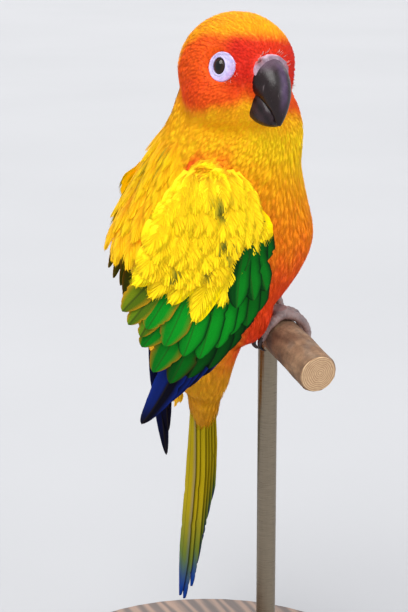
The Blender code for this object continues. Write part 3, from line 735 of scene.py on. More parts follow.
def armNear(birdPoints):  # a band round the shoulder's front and upper edge
    share, crest = np.zeros(len(birdPoints)), wing["arm"][-1][0]
    for i, (x, y, z) in enumerate(birdPoints):
        if not 34.0 < z < 76.0 or abs(y) < 13.0:
            continue
        x += wing["leftAhead"] if y > 0 else 0.0
        front = alongTable(wing["arm"], min(z, crest), 1)[0]
        if x > -42.0:
            share[i] = 1.0 - math.hypot(max(0.0, x - front), max(0.0, z - crest)) / 5.5
    return share


def markings(points):
    birdPoints, headPoints = seenFrom(birdPlace, points), seenFrom(headPlace, points)
    x, y, z = birdPoints.T
    hx, _, hz = headPoints.T
    big, small = ripple(birdPoints, 26.0, 3), ripple(birdPoints, 9.0, 4)
    # trunk
    colour = mixed(shades["neck"], shades["breast"], smooth(78.0, 44.0, z + 3.0 * big + 0.22 * x))
    colour = mixed(colour, shades["belly"], smooth(46.0, 22.0, z + 2.5 * small))
    colour = mixed(colour, shades["vent"], smooth(20.0, 6.0, z + 2.0 * small) * smooth(-24.0, -8.0, x))
    rear = smooth(-16.0, -30.0, x + 2.0 * small)
    mantle = mixed(shades["mantle"], shades["streak"], 0.4 * smooth(0.2, 1.0, small))
    mantle = mixed(mantle, shades["rump"], smooth(34.0, 14.0, z))
    colour = mixed(colour, mantle, rear)
    colour = mixed(colour, shades["undertail"], smooth(2.0, -16.0, z + 2.0 * small))
    # shoulders
    arm = armShare(birdPoints)
    near = np.clip(armNear(birdPoints), 0.0, 1.0)
    colour = mixed(colour, shades["crease"], 0.95 * smooth(0.0, 0.7, near) * (1.0 - arm))
    coverts = mixed(shades["coverts"], shades["mantle"], 0.25 * smooth(0.3, 1.0, small))
    for sx, sz, size in ((-33.5, 57.0, 2.3), (-31.5, 43.0, 1.5), (-36.0, 35.0, 1.8)):
        shift = np.where(y > 0, -wing["leftAhead"], 0.0)
        spot = np.hypot(x - sx - shift, (z - sz) * 0.55) + 0.6 * small
        coverts = mixed(coverts, shades["smudge"], 0.8 * smooth(size, size * 0.4, spot))
    colour = mixed(colour, coverts, arm)
    # head
    face = np.hypot((hx - 2.5) / 17.5, (hz + 2.6) / 12.6) + 0.05 * small
    headColour = mixed(shades["crown"], shades["nape"], smooth(-6.0, -20.0, hx) * 0.5)
    headColour = mixed(headColour, shades["throat"], smooth(-4.0, -12.0, hz))
    headColour = mixed(headColour, shades["face"], smooth(1.12, 0.78, face))
    band = smooth(8.5, 13.5, hx) * smooth(10.5, 6.0, hz) * smooth(-13.0, -4.0, hz)
    headColour = mixed(headColour, shades["lore"], 0.95 * band)
    cheek = np.hypot((hx + 3.0) / 10.0, (hz + 8.0) / 6.0)
    headColour = mixed(headColour, shades["lore"], 0.35 * smooth(1.2, 0.4, cheek))
    below = smooth(-17.0, -24.0, np.minimum(hz, z - 90.0))
    far = smooth(24.0, 30.0, np.linalg.norm(headPoints, axis=1))
    return mixed(headColour, colour, np.clip(np.maximum(below, far), 0.0, 1.0))


# small feathers: fans of fine barbs that lie along the coat
coat = {  # on the head, on the body and on the arm, in mm
    "apart": (0.8, 1.26), "length": (3.8, 8.4, 7.6), "width": (1.05, 2.3, 2.7), "rise": (0.65, 1.0),
    "barbs": (5, 8),
    "middle": (6.0, 0.0, -3.0),  # the head's, from which its coat gives way to the body's
    "closeApart": 0.62,  # near the bill and the eyes
    "tries": 5.0,  # points tried for each square mm
}


def spread(obj, apart, seed):
    # seeded points spread evenly over the skin, never closer than apart(place) in mm
    turn = np.random.default_rng(seed)
    obj.data.calc_loop_triangles()
    corners = rowsOf(obj.data.loop_triangles, "vertices", 3, np.int32)
    loops = rowsOf(obj.data.loop_triangles, "loops", 3, np.int32)
    points = pointsOf(obj)
    a, b, c = (points[corners[:, k]] for k in range(3))
    area = np.linalg.norm(np.cross(b - a, c - a), axis=1) / 2
    many = int(area.sum() / mm**2 * coat["tries"])
    chosen = turn.choice(len(corners), many, p=area / area.sum())
    u, v = turn.random(many), turn.random(many)
    flip = u + v > 1
    u[flip], v[flip] = 1 - u[flip], 1 - v[flip]
    weights = np.stack((1 - u - v, u, v), 1)
    uvs = rowsOf(obj.data.uv_layers["OFBake"].data, "uv", 2)
    normals = rowsOf(obj.data.vertices, "normal", 3)
    place, uv, normal = (np.einsum("nk,nkd->nd", weights, rows)
                         for rows in (points[corners[chosen]], uvs[loops[chosen]], normals[corners[chosen]]))
    distance = apart(place)
    inMm = place / mm
    keys = np.floor(inMm / float(distance.max())).astype(int)
    around = [(i, j, k) for i in (-1, 0, 1) for j in (-1, 0, 1) for k in (-1, 0, 1)]
    grid, kept = {}, []
    for i in range(many):
        if distance[i] <= 0:
            continue
        x, y, z = keys[i]
        near = (j for dx, dy, dz in around for j in grid.get((x + dx, y + dy, z + dz), ()))
        if all((inMm[i] - inMm[j]) @ (inMm[i] - inMm[j]) >= distance[i] ** 2 for j in near):
            grid.setdefault((x, y, z), []).append(i)
            kept.append(i)
    return place[kept], unit(normal)[kept], uv[kept]


def lie(points, normals):
    # which way a feather lies: away from the bill on the head, down and back on the body
    birdPoints, headPoints = seenFrom(birdPlace, points), seenFrom(headPlace, points)
    x, y, z = birdPoints.T
    down = np.array((-0.12, 0.0, -1.0)) * np.ones((len(points), 1))
    shoulder = smooth(40.0, 62.0, z) * smooth(96.0, 84.0, z) * smooth(2.0, -22.0, x)
    down[:, 0] -= 0.75 * shoulder
    breastSide = smooth(-14.0, 6.0, x) * smooth(80.0, 50.0, z)
    down[:, 1] += np.sign(y) * 0.10 * breastSide * smooth(0.0, 10.0, abs(y))
    down = down @ birdPlace[:3, :3].T / mm
    fromBill = headPoints - np.array((17.0, 0.0, -3.0))
    size = np.linalg.norm(fromBill, axis=1)
    away = fromBill / size[:, None]
    away[:, 2] -= 0.25
    away = away @ headPlace[:3, :3].T / mm
    onHead = 1.0 - smooth(20.0, 33.0, size + np.clip(-headPoints[:, 2] - 12.0, 0, 50) * 0.9)
    way = away * onHead[:, None] + down * (1.0 - onHead)[:, None]
    swirl = np.cross(normals, way) * (0.09 * ripple(birdPoints, 18.0, 8))[:, None]
    way = way + swirl + draws.normal(scale=0.035, size=way.shape)
    way -= normals * np.einsum("nd,nd->n", way, normals)[:, None]
    return unit(way)


sliver = np.array((  # a closed three-sided barb of seven points
    (0, 1, 2), (0, 3, 4), (0, 4, 1), (1, 4, 5), (1, 5, 2), (2, 5, 3), (2, 3, 0), (3, 6, 4), (4, 6, 5), (5, 6, 3)))


def fans(name, tree, roots, normals, ways, uv, length, width, rise, tint, tip, sink, barbs):
    # every feather is a fan of closed slivers, three-sided, that follow the skin
    count = len(roots)
    along = []
    for share, over in ((0.5, 0.62), (1.0, 1.0)):
        reach = roots + ways * (length * share * mm)[:, None]
        found = [tree.find_nearest(Vector(p)) for p in reach]
        near, out = (np.array([f[k] for f in found]) for k in (0, 1))
        along.append(near + out * (rise * over * mm)[:, None])
    first = roots - normals * (sink * mm)[:, None]
    middle, last = along
    u = np.linspace(-1.0, 1.0, barbs)
    points, tints, patch, lay = (np.empty((count, barbs, 7, size)) for size in (3, 3, 2, 3))
    for j in range(barbs):
        reach = (1.0 - 0.25 * u[j] ** 2) * (1.0 + draws.normal(scale=0.05, size=count))
        lift = draws.normal(scale=0.06, size=count) * mm
        shift = u[j] * (1.0 + draws.normal(scale=0.08, size=count))
        for k, (s, opened, thick) in enumerate(((0.0, 0.14, 0.4), (0.55, 0.8, 0.62), (1.0, 1.0, 0.62))):
            t = (s * reach)[:, None]
            p = first * (1 - t) * (1 - 2 * t) + middle * 4 * t * (1 - t) + last * t * (2 * t - 1)
            ahead = unit(first * (4 * t - 3) + middle * (4 - 8 * t) + last * (4 * t - 1))
            right = unit(np.cross(ahead, normals))
            up = np.cross(right, ahead)
            p = p + right * (shift * width * opened * 0.5 * mm)[:, None]
            p = p + up * ((lift - 0.16 * mm * abs(u[j])) * s)[:, None]
            square = uv + 0.003 * np.array((u[j] * 0.5, s - 0.5))
            if k == 2:
                points[:, j, 6], tints[:, j, 6], patch[:, j, 6] = p, tip, square
                lay[:, j, 6] = normals * 0.97 + ahead * 0.25
                continue
            half = (width / barbs * thick * mm)[:, None]
            colour = mixed(tint * (0.86, 1.0)[k], tip, np.full(count, (0.0, 0.35)[k]))
            corners = ((p - right * half, normals * 0.95 - right * 0.3),
                       (p + right * half, normals * 0.95 + right * 0.3), (p + up * (0.07 * mm), normals))
            for corner, (at, facing) in enumerate(corners, 3 * k):
                points[:, j, corner], lay[:, j, corner] = at, facing
                tints[:, j, corner], patch[:, j, corner] = colour, square
    triangles = (sliver[None] + 7 * np.arange(count * barbs)[:, None, None]).reshape(-1, 3)
    points, tints, lay = (rows.reshape(-1, 3) for rows in (points, tints, unit(lay)))
    obj = meshFromArrays(name, points, triangles, tints, patch.reshape(-1, 2), lay=lay)
    obj.data.shade_smooth()
    print(name, count, "feathers", len(obj.data.polygons), "triangles")
    return obj


def eyeFrame(side):
    centre, axis = (Vector((x, side * y, z)) for x, y, z in (headShape["eye"], headShape["eyeAxis"]))
    axis.normalize()
    ahead = squareTo(Vector((1, 0, 0)), axis)
    up = Vector((0, 0, 1))
    up = (up - axis * up.dot(axis) - ahead * up.dot(ahead)).normalized()
    return centre, axis, ahead, up


def fromEye(headPoints):
    # distance from the bare ring's middle across the face, in mm, on either side
    best = np.full(len(headPoints), 99.0)
    for side in (-1, 1):
        centre, axis, ahead, up = eyeFrame(side)
        forward, above = headShape["bareShift"][side]
        p = headPoints - np.array(centre + ahead * forward + up * above)
        far = np.hypot(p @ np.array(ahead), p @ np.array(up))
        best = np.where(p @ np.array(axis) > -4.0, np.minimum(best, far), best)
    return best


def makeCoat(skin, tree, billTree, plumage):
    def fromMiddle(headPoints):
        return np.linalg.norm(headPoints - np.array(coat["middle"]), axis=1)

    def offBill(points, far):  # how far from the bill and cere, in mm, below zero inside them
        gap = np.full(len(points), 9.0)
        near = np.nonzero(far < 22.0)[0]
        found = [billTree.find_nearest(Vector(p)) for p in points[near]]
        gap[near] = np.array([(Vector(p) - at).dot(out) for p, (at, out, _, _) in zip(points[near], found)]) / mm
        return gap

    def apart(points):
        birdPoints, headPoints = seenFrom(birdPlace, points), seenFrom(headPlace, points)
        far, eyeGap = fromMiddle(headPoints), fromEye(headPoints)
        bare = offBill(points, far)
        onHead, onBody = coat["apart"]
        gap = onHead + (onBody - onHead) * smooth(18.0, 34.0, far)
        gap = np.where((bare < 2.5) | (eyeGap < headShape["bareRadius"] + 1.6), coat["closeApart"], gap)
        mirrored = np.abs(headPoints * (0, 1, 0)) + headPoints * (1, 0, 1)
        nostril = np.linalg.norm(mirrored - np.array(bill["nostril"]), axis=1)
        saddle = np.hypot(birdPoints[:, 0], birdPoints[:, 2]) < body["saddle"] + 0.3
        return np.where((bare < 0.1) | (nostril < 2.3) | (eyeGap < headShape["bareRadius"]) | saddle, -1.0, gap)

    roots, normals, uv = spread(skin, apart, 5)
    headPoints, birdPoints = seenFrom(headPlace, roots), seenFrom(birdPlace, roots)
    ways = lie(roots, normals)
    x, y, z = birdPoints.T
    far, eyeGap, arm = fromMiddle(headPoints), fromEye(headPoints), armShare(birdPoints) > 0.5
    onBody = smooth(17.0, 34.0, far)
    bare = offBill(roots, far)
    close = np.maximum(smooth(9.0, 5.3, eyeGap), smooth(4.5, 1.0, bare))
    sink = 0.4 - 0.38 * np.maximum(smooth(6.6, 5.4, eyeGap), smooth(3.0, 1.2, bare))

    def sized(name):
        measures = coat[name]
        size = measures[0] + (measures[1] - measures[0]) * onBody
        return np.where(arm, measures[2], size) if len(measures) > 2 else size

    length = sized("length") * draws.uniform(0.85, 1.2, len(roots)) * (1.0 - 0.45 * close)
    width = sized("width")
    rise = sized("rise") * (1.0 - 0.45 * close) + draws.uniform(-0.08, 0.12, len(roots))
    base, tip = markings(roots), markings(roots + ways * (length * 0.6 * mm)[:, None])
    vary = 1.0 + draws.normal(scale=0.05, size=len(roots))
    hue = draws.normal(scale=1.0, size=len(roots))
    warm = np.stack((1.0 + 0.01 * hue, 1.0 + 0.06 * hue, 1.0 + 0.03 * hue), 1)
    base = np.clip(base * vary[:, None] * warm, 0.0, 0.98)
    tip = np.clip(tip * (vary * 1.06)[:, None] * warm, 0.0, 0.98)
    head, high, front = onBody < 0.5, z >= 62, x > -18
    regions = (
        ("head", "Right", head & (headPoints[:, 1] < 0)), ("head", "Left", head & (headPoints[:, 1] >= 0)),
        ("neck", "Front", ~head & high & front), ("neck", "Back", ~head & high & ~front),
        ("breast", "Right", ~head & ~high & front & (y < 0)), ("breast", "Left", ~head & ~high & front & (y >= 0)),
        ("back", "Right", ~head & ~high & ~front & (y < 0)), ("back", "Left", ~head & ~high & ~front & (y >= 0)))
    slots = {"head": "head_feathers", "neck": "neck_feathers"}
    for region, part, inside in regions:
        rows = (rows[inside] for rows in (roots, normals, ways, uv, length, width, rise, base, tip, sink))
        piece = fans("coat_" + region + part, tree, *rows, coat["barbs"][region != "head"])
        finished(piece, plumage, slots.get(region, "torso_feathers"), angle=0)


# long feathers as closed vanes
acrossSteps = np.array((-1.0, -0.78, -0.5, -0.22, 0.0, 0.22, 0.5, 0.78, 1.0))


def course(feather):  # a feather's root, length and ways along and across its sheet
    root, tip = feather["root"], feather["tip"]
    run = np.array((tip[0] - root[0], tip[1] - root[1]))
    length = float(np.linalg.norm(run))
    ahead = run / length
    return root, length, ahead, np.array((-ahead[1], ahead[0]))


def vaneArrays(place, feather, cell, cells):
    # feather: root, tip, width, lift, tilt, paint and more; cell: its square on the OFBake map
    root, length, ahead, aside = course(feather)
    width, steps = feather["width"], feather.get("steps", 26)
    ground, (low, high) = feather.get("ground"), feather["lift"]
    given = {
        "bow": 0.0, "point": 0.35, "soft": 0.0, "risen": 0.5, "tilt": 0.0, "camber": 1.0, "stout": 1.0, "below": 0.0}
    bow, point, soft, risen, tilt, camber, stout, below = (feather.get(k, v) for k, v in given.items())
    n, m = steps + 1, len(acrossSteps)
    rows, tints, vanes, maps = [], [], [], []
    notch = np.zeros((n, 2))
    for _ in range(feather.get("notches", 3)):
        notch[draws.integers(int(n * 0.3), n - 3), draws.integers(0, 2)] = draws.uniform(0.12, 0.35)
    rough = draws.normal(scale=0.02 + 0.05 * soft, size=(n, 2))
    for layer in (1, -1):
        for i in range(n):
            t = 1 - (1 - i / steps) ** 1.5
            full = min(1.0, 0.45 + 1.6 * t) * min(1.0, max(0.0, (1 - t) / point) ** 0.5)
            half = 0.5 * width * max(full, 0.03)
            rise = low + (high - low) * min(1.0, t / risen)
            for j, side in enumerate(acrossSteps):
                edge = abs(side)
                trim = 1.0
                if edge > 0.7:
                    which = 0 if side < 0 else 1
                    trim = 1.0 - (notch[i, which] + abs(rough[i, which])) * (edge - 0.4)
                x = half * side * trim
                flat = ahead * (length * t - 0.10 * half * edge**2) + aside * (x + bow * math.sin(math.pi * t))
                at = (root[0] + flat[0], root[1] + flat[1])
                if ground:
                    rise = ground(*at, t) - below
                shaft = 0.14 if side == 0 and t < 0.92 else 0.0
                up = rise + tilt * side * full + 0.18 * (1 - side * side) * camber
                rows.append(place(*at, up + layer * (0.2 * stout * (1 - edge**2 * 0.75) + shaft)))
                tints.append(feather["paint"](t, side, layer))
                vanes.append((length * t, x, half))
                u = (cell % cells + (0.25 if layer > 0 else 0.75) + 0.22 * side) / cells
                v = (cell // cells + 0.03 + 0.94 * t) / cells
                maps.append((u, v))
    faces = []
    for i in range(steps):
        for j in range(m - 1):
            a, b, c, d = i * m + j, i * m + j + 1, (i + 1) * m + j + 1, (i + 1) * m + j
            faces += [(a, b, c), (a, c, d)]
            faces += [(n * m + c, n * m + b, n * m + a), (n * m + d, n * m + c, n * m + a)]
        for j, turn in ((0, 1), (m - 1, -1)):
            a, d = i * m + j, (i + 1) * m + j
            faces += [f[::turn] for f in ((a, d, n * m + d), (a, n * m + d, n * m + a))]
    for i, turn in ((0, -1), (steps, 1)):
        for j in range(m - 1):
            a, b = i * m + j, i * m + j + 1
            faces += [f[::turn] for f in ((a, b, n * m + b), (a, n * m + b, n * m + a))]
    points = carried(birdPlace, [tuple(p) for p in rows])
    faces = np.array(faces)
    a, b, c = (points[faces[:, k]] for k in range(3))
    if np.einsum("nd,nd->n", np.cross(a, b), c).sum() < 0:  # the sheet may be mirrored
        faces = faces[:, ::-1]
    return points, faces, np.array(tints), np.array(vanes), np.array(maps)


def vanePiece(name, place, feathers):
    cells, parts, count = math.ceil(len(feathers) ** 0.5), [], 0
    for k, feather in enumerate(feathers):
        points, faces, *rows = vaneArrays(place, feather, k, cells)
        parts.append((points, faces + count, *rows))
        count += len(points)
    points, faces, tints, vanes, maps = (np.concatenate(rows) for rows in zip(*parts))
    obj = meshFromArrays(name, points, faces, tints, maps, vane=vanes)
    print(name, len(feathers), "vanes", len(obj.data.polygons), "triangles")
    return obj


def painted(inner, outer, edge=None, tip=None, under=None, dark=0.55, edgeFrom=0.6):
    # inner and outer vane colours, an edge and a tip colour, a duller underside
    vary = 1.0 + draws.normal(scale=0.06)

    def at(t, side, layer):
        colour = inner if side < 0 else outer
        colour = np.array(colour) * (dark + (1 - dark) * min(1.0, t * 1.6))
        if edge is not None:
            colour = mixed(colour, edge, smooth(edgeFrom, 1.0, abs(side)) * smooth(0.15, 0.5, t))
        if tip is not None:
            colour = mixed(colour, tip, smooth(0.8, 1.0, t))
        if layer < 0 and under is not None:
            colour = mixed(colour, under, 0.7)
        return np.clip(colour * vary, 0.0, 0.98)

    return at


def plumes(name, place, feathers):
    # soft feathers: barbs leave the shaft in pairs and end on the feather's outline
    centres, ends, sizes, tints, maps = [], [], [], [], []
    cells = math.ceil(len(feathers) ** 0.5)
    for k, feather in enumerate(feathers):
        root, length, ahead, aside = course(feather)
        width, ground, pairs = feather["width"], feather["ground"], feather.get("pairs", 26)
        slant = feather.get("slant", 1.5) * width / 2 / length
        sway = draws.uniform(-0.5, 0.5)

        def at(t, off):
            edge = off / (width / 2)
            flat = ahead * length * t + aside * (off + sway * math.sin(3.1 * min(t, 1.0)))
            x, z = root[0] + flat[0], root[1] + flat[1]
            up = ground(x, z, min(t, 1.0)) + 0.35 * (1 - edge * edge) + feather.get("tilt", 0.3) * edge
            here, over = place(x, z, up), place(x, z, up + 1.0)
            return here, over - here

        def outline(t):
            return width / 2 * min(1.0, 0.4 + 1.8 * t) * min(1.0, max(0.02, (1.03 - t) / 0.3)) ** 0.5

        for i in range(pairs):
            for side in (-1, 1):
                start = 0.06 + 0.9 * (i + draws.uniform(0.2, 0.8)) / pairs
                end = min(1.02, start + slant * draws.uniform(0.9, 1.15) + 0.03)
                reach = outline(end) * side * draws.uniform(0.92, 1.04)
                row = [at(start, 0.0), at(start + (end - start) * 0.5, reach * 0.62), at(end, reach)]
                centres.append([tuple(p) for p, _ in row])
                ends.append([tuple(n) for _, n in row])
                sizes.append(min(0.3, length * 0.9 / pairs * 0.6))
                base, far = (np.array(feather["paint"](t, across, 1)) for t, across in ((start, 0.0), (end, side)))
                shade = 1.0 + draws.normal(scale=0.05)
                tints.append((base * 0.94 * shade, far * shade, far * 1.05 * shade))
                u = (k % cells + 0.5 + 0.4 * side * abs(reach) / (width / 2)) / cells
                v = (k // cells + 0.05 + 0.9 * start) / cells
                maps.append((u, v))
    centres = carried(birdPlace, np.array(centres).reshape(-1, 3)).reshape(-1, 3, 3)
    normals = unit(np.array(ends) @ birdPlace[:3, :3].T)
    sizes, tints, maps = np.array(sizes) * mm, np.array(tints), np.array(maps)
    ways = unit(np.stack([centres[:, b] - centres[:, a] for a, b in ((0, 1), (0, 2), (1, 2))], 1))
    rights = unit(np.cross(ways, normals))
    count = len(centres)
    points, colours, uv, lay = (np.empty((count, 7, size)) for size in (3, 3, 2, 3))
    for k in (0, 1):
        half = (sizes * (0.55, 1.0)[k])[:, None]
        points[:, 3 * k] = centres[:, k] - rights[:, k] * half
        points[:, 3 * k + 1] = centres[:, k] + rights[:, k] * half
        points[:, 3 * k + 2] = centres[:, k] + normals[:, k] * 0.09 * mm
        colours[:, 3 * k: 3 * k + 3] = tints[:, k][:, None]
        lay[:, 3 * k] = normals[:, k] - rights[:, k] * 0.3
        lay[:, 3 * k + 1] = normals[:, k] + rights[:, k] * 0.3
        lay[:, 3 * k + 2] = normals[:, k]
        uv[:, 3 * k: 3 * k + 3] = (maps + 0.0005 * k)[:, None] + np.array(((-0.0004, 0), (0.0004, 0), (0, 0.0004)))
    points[:, 6], colours[:, 6], uv[:, 6], lay[:, 6] = centres[:, 2], tints[:, 2], maps + 0.0012, normals[:, 2]
    lay = lay.reshape(-1, 3)
    triangles = (sliver[None] + 7 * np.arange(count)[:, None, None]).reshape(-1, 3)
    points, colours, uv = points.reshape(-1, 3), np.clip(colours, 0, 0.98).reshape(-1, 3), uv.reshape(-1, 2)
    parts = [(points, triangles, colours, uv, lay)]
    total = len(points)
    for k, feather in enumerate(feathers):  # a thin vane closes each feather from below
        leaf = dict(feather, width=feather["width"] * 0.88, steps=12, below=0.3, notches=2, lift=(0, 0), point=0.32)
        p, f, t, _, m = vaneArrays(place, leaf, k, cells)
        out = np.cross(p[f[:, 1]] - p[f[:, 0]], p[f[:, 2]] - p[f[:, 0]])
        flat = np.zeros((len(p), 3))
        for corner in range(3):
            np.add.at(flat, f[:, corner], out)
        flat /= np.linalg.norm(flat, axis=1)[:, None] + 1e-12
        parts.append((p, f + total, np.clip(t * 0.95, 0, 1), m, flat))
        total += len(p)
    points, triangles, colours, uv, lay = (np.concatenate(rows) for rows in zip(*parts))
    obj = meshFromArrays(name, points, triangles, colours, uv, lay=unit(lay))
    obj.data.shade_smooth()
    print(name, len(feathers), "plumes", len(obj.data.polygons), "triangles")
    return obj


tiers = {  # tips, first and last root, width, how far out
    "primaries": (((-33.0, -6.5), (-37.0, -12.5), (-41.0, -19.0), (-44.0, -25.5), (-46.0, -31.0)),
                  ((-24.0, 34.0), (-36.0, 34.0)), 8.0, (0.9, 3.2)),
    "longPrimaries": (((-33.5, -20.0), (-36.5, -27.0), (-38.5, -34.0), (-40.0, -41.0), (-41.5, -47.0)),
                      ((-24.0, 34.0), (-36.0, 34.0)), 8.0, (0.9, 3.2)),
    "secondaries": (((-24.5, 11.0), (-28.5, 4.5), (-32.5, -1.0), (-37.2, -5.0), (-42.3, -8.5), (-46.8, -4.0),
                     (-51.0, 5.0)), ((-19.5, 34.0), (-40.0, 34.0)), 8.2, (2.9, 5.3)),
    "greenCoverts": (((-19.8, 19.0), (-23.4, 15.0), (-27.5, 12.5), (-31.0, 8.5), (-35.5, 4.5), (-40.0, 4.5),
                      (-45.0, 7.5), (-50.0, 13.0)), ((-20.0, 38.0), (-40.5, 39.0)), 7.5, (4.6, 7.2)),
    "yellowCoverts": (((-21.5, 43.0), (-26.5, 34.5), (-31.6, 24.2), (-38.0, 17.8), (-44.2, 23.5), (-49.3, 24.5),
                       (-53.0, 28.0)), ((-22.5, 57.0), (-41.5, 51.0)), 8.5, (6.4, 9.2)),
    "frontGreens": (((-19.6, 39.0), (-22.8, 36.0), (-26.2, 33.0), (-19.6, 28.5), (-23.2, 26.0), (-27.4, 23.5)),
                    ((-21.5, 52.0), (-27.5, 49.0)), 6.4, (7.4, 8.8)),
    "rearGreens": (((-52.0, 19.0), (-54.5, 21.0), (-51.5, 9.0), (-54.0, 13.0), (-56.0, 17.0)),
                   ((-40.0, 42.0), (-43.0, 42.0)), 6.6, (5.2, 7.4)),
}


def tierFeathers(name, colours, **extra):
    tips, roots, width, levels = tiers[name]
    feathers = []
    for i, tip in enumerate(tips):
        t = i / (len(tips) - 1)
        root = [a + (b - a) * t for a, b in zip(*roots)]
        level = levels[0] + (levels[1] - levels[0]) * t
        sunk = min(level - 0.2, armHeight(*root) - 1.0)
        jitter = draws.uniform(-0.4, 0.4, 2)
        feathers.append({
            "root": root, "tip": (tip[0] + jitter[0], tip[1] + jitter[1]), "width": width * draws.uniform(0.97, 1.05),
            "lift": (sunk, level), "tilt": 0.45, "bow": draws.uniform(-0.3, 0.3), "paint": colours(t, i), **extra})
    return feathers


blotches = (  # dark green spots: forward, up, size
    (-33.5, 57.0, 2.4), (-31.5, 44.0, 1.5), (-36.0, 35.0, 1.9),
    (-44.0, 33.0, 1.5), (-46.5, 28.5, 1.4), (-28.5, 39.0, 1.4))
blotchAside = 1.89  # how far from the shaft, in mm, a feather's outermost barbs take up a spot
covertRows = (  # soft rows over the arm, from the lowest up
    {"x": (-32.5, -51.0, 8), "reach": (45.0, 14.0), "dip": 1.0, "width": 7.6, "base": (8.4, 9.6), "pairs": 34},
    {"x": (-28.5, -50.5, 9), "reach": (51.0, 14.0), "dip": 3.5, "width": 7.2, "base": (8.8, 9.6), "pairs": 34},
    {"x": (-22.5, -48.5, 10), "reach": (57.0, 14.0), "dip": 3.5, "width": 6.6, "base": (6.0, 7.6), "pairs": 32},
    {"x": (-22.5, -47.5, 10), "reach": (62.0, 13.0), "dip": 2.0, "width": 6.0, "base": (5.0, 6.0), "pairs": 30},
    {"x": (-24.5, -45.5, 9), "reach": (66.5, 11.0), "dip": 1.0, "width": 5.4, "base": (3.0, 4.0), "pairs": 28},
)


def makeWing(name, side, primaries, finish, softFinish):
    s = shades

    def green(dark, bright):
        return lambda share: mixed(s[dark], s[bright], share)

    night, young, deep, leaf = (green(*pair) for pair in (
        ("night", "violet"), ("blackGreen", "brightGreen"), ("brightGreen", "darkGreen"), ("blackGreen", "oliveEdge")))

    def primary(t, i):
        edge = mixed(s["violet"], s["blue"], 0.7 * smooth(0.5, 0.0, t))
        return painted(night(0.7), s["night"], edge=edge, tip=s["night"], under=s["night"], edgeFrom=0.55)

    def secondary(t, i):
        rear = smooth(0.45, 0.9, t)
        return painted(young(0.55 * rear), young(0.25 + 0.5 * rear), edge=leaf(0.8 * smooth(0.6, 0.95, t)),
                       under=s["tailUnder"])

    def covert(t, i):
        front = smooth(0.35, 0.0, t)
        return painted(deep(0.35 + 0.6 * front), deep(0.1 + 0.75 * front), edge=leaf(0.75 * smooth(0.72, 0.95, t)),
                       under=s["tailUnder"], dark=0.4, edgeFrom=0.66)

    def rearGreen(t, i):
        inner = mixed(s["brightGreen"], s["olive"], 0.35 + 0.1 * i)
        outer = mixed(inner, s["darkGreen"], 0.4)
        return painted(inner, outer, edge=s["oliveEdge"], under=s["tailUnder"], dark=0.35)

    def frontGreen(t, i):
        inner = mixed(s["blackGreen"], s["darkGreen"], 0.5 + 0.08 * i)
        outer = mixed(s["darkGreen"], s["brightGreen"], 0.2 + 0.08 * i)
        return painted(inner, outer, edge=s["blackGreen"], under=s["tailUnder"], dark=0.3)

    def yellow(t, i):
        inner = mixed(s["coverts"], s["olive"], (0.85, 0.3, 0.12, 0.05, 0.3, 0.15, 0.1)[i])
        return painted(inner, s["coverts"], tip=s["coverts"], under=s["olive"], dark=0.7)

    def overArm(high):  # lies on the arm and rises to its tier's level
        return lambda x, z, t: max(armHeight(x, z) + 0.3 + 0.5 * t, (high - 2.0) + 2.0 * t)

    def overTier(low, high):
        return lambda x, z, t: max(low + (high - low) * min(1.0, 2.0 * t) + 0.3, armHeight(x, z) + 0.2)

    def grownOut(out):  # grows out of the arm and lies free from its middle on
        def ground(x, z, t):
            free, height = float(smooth(0.0, 0.5, t)), armHeight(x, z)
            return max(height - 1.2, out - 3.6) * (1 - free) + (max(height + 0.4, out) + 0.25 + 0.9 * t) * free

        return ground

    def spotted(colour, root, tip):
        def paint(t, across, layer):
            here = [u + (v - u) * t for u, v in zip(root, tip)]
            here[0] += across * blotchAside
            shade = mixed(colour, s["streak"], 0.3 * smooth(0.5, 0.0, t))
            for x, z, size in blotches:
                apart = math.hypot(here[0] - x, (here[1] - z) * 0.6)
                shade = mixed(shade, s["smudge"], 0.9 * smooth(size, size * 0.45, apart))
            return shade

        return paint

    feathers = tierFeathers(primaries, primary, point=0.3, notches=2)
    feathers += tierFeathers("secondaries", secondary, point=0.22)
    feathers += tierFeathers("greenCoverts", covert, point=0.22)
    feathers += tierFeathers("rearGreens", rearGreen, point=0.25)
    for feather in tierFeathers("frontGreens", frontGreen, point=0.25):
        feathers.append(dict(feather, ground=overArm(feather["lift"][1])))
    feathers += tierFeathers("yellowCoverts", yellow, point=0.26, soft=0.6, notches=4, width=7.4)
    finished(vanePiece(name, wingSheet(side), feathers), finish, "wing_feathers", [name.replace("feathers_", "")], 35)
    soft = []
    for feather in tierFeathers("yellowCoverts", yellow):
        soft.append(dict(feather, ground=overTier(*feather["lift"]), tilt=0.45, pairs=40))
    for row in covertRows:
        (x0, x1, count), (top, length), width, (near, far) = row["x"], row["reach"], row["width"], row["base"]
        for i in range(count):
            t = i / (count - 1)
            x = x0 + (x1 - x0) * t + draws.uniform(-0.6, 0.6)
            z = top - length + row["dip"] * (2 * t - 1) ** 2 + draws.uniform(-1.2, 1.2)
            if side > 0 and i > count - (5 if near < 8.0 else 2):  # hidden beyond the back
                continue
            colour = mixed(s["coverts"], s["mantle"], draws.uniform(0.0, 0.3))
            root = (x * 0.75 + 0.25 * (x0 + x1) / 2, z + length)
            soft.append({"root": root, "tip": (x, z), "width": width, "ground": grownOut(near + (far - near) * t),
                         "pairs": row["pairs"], "paint": spotted(colour, root, (x, z))})
    finished(plumes(name.replace("feathers", "coverts"), wingSheet(side), soft), softFinish, "wing_feathers", angle=0)


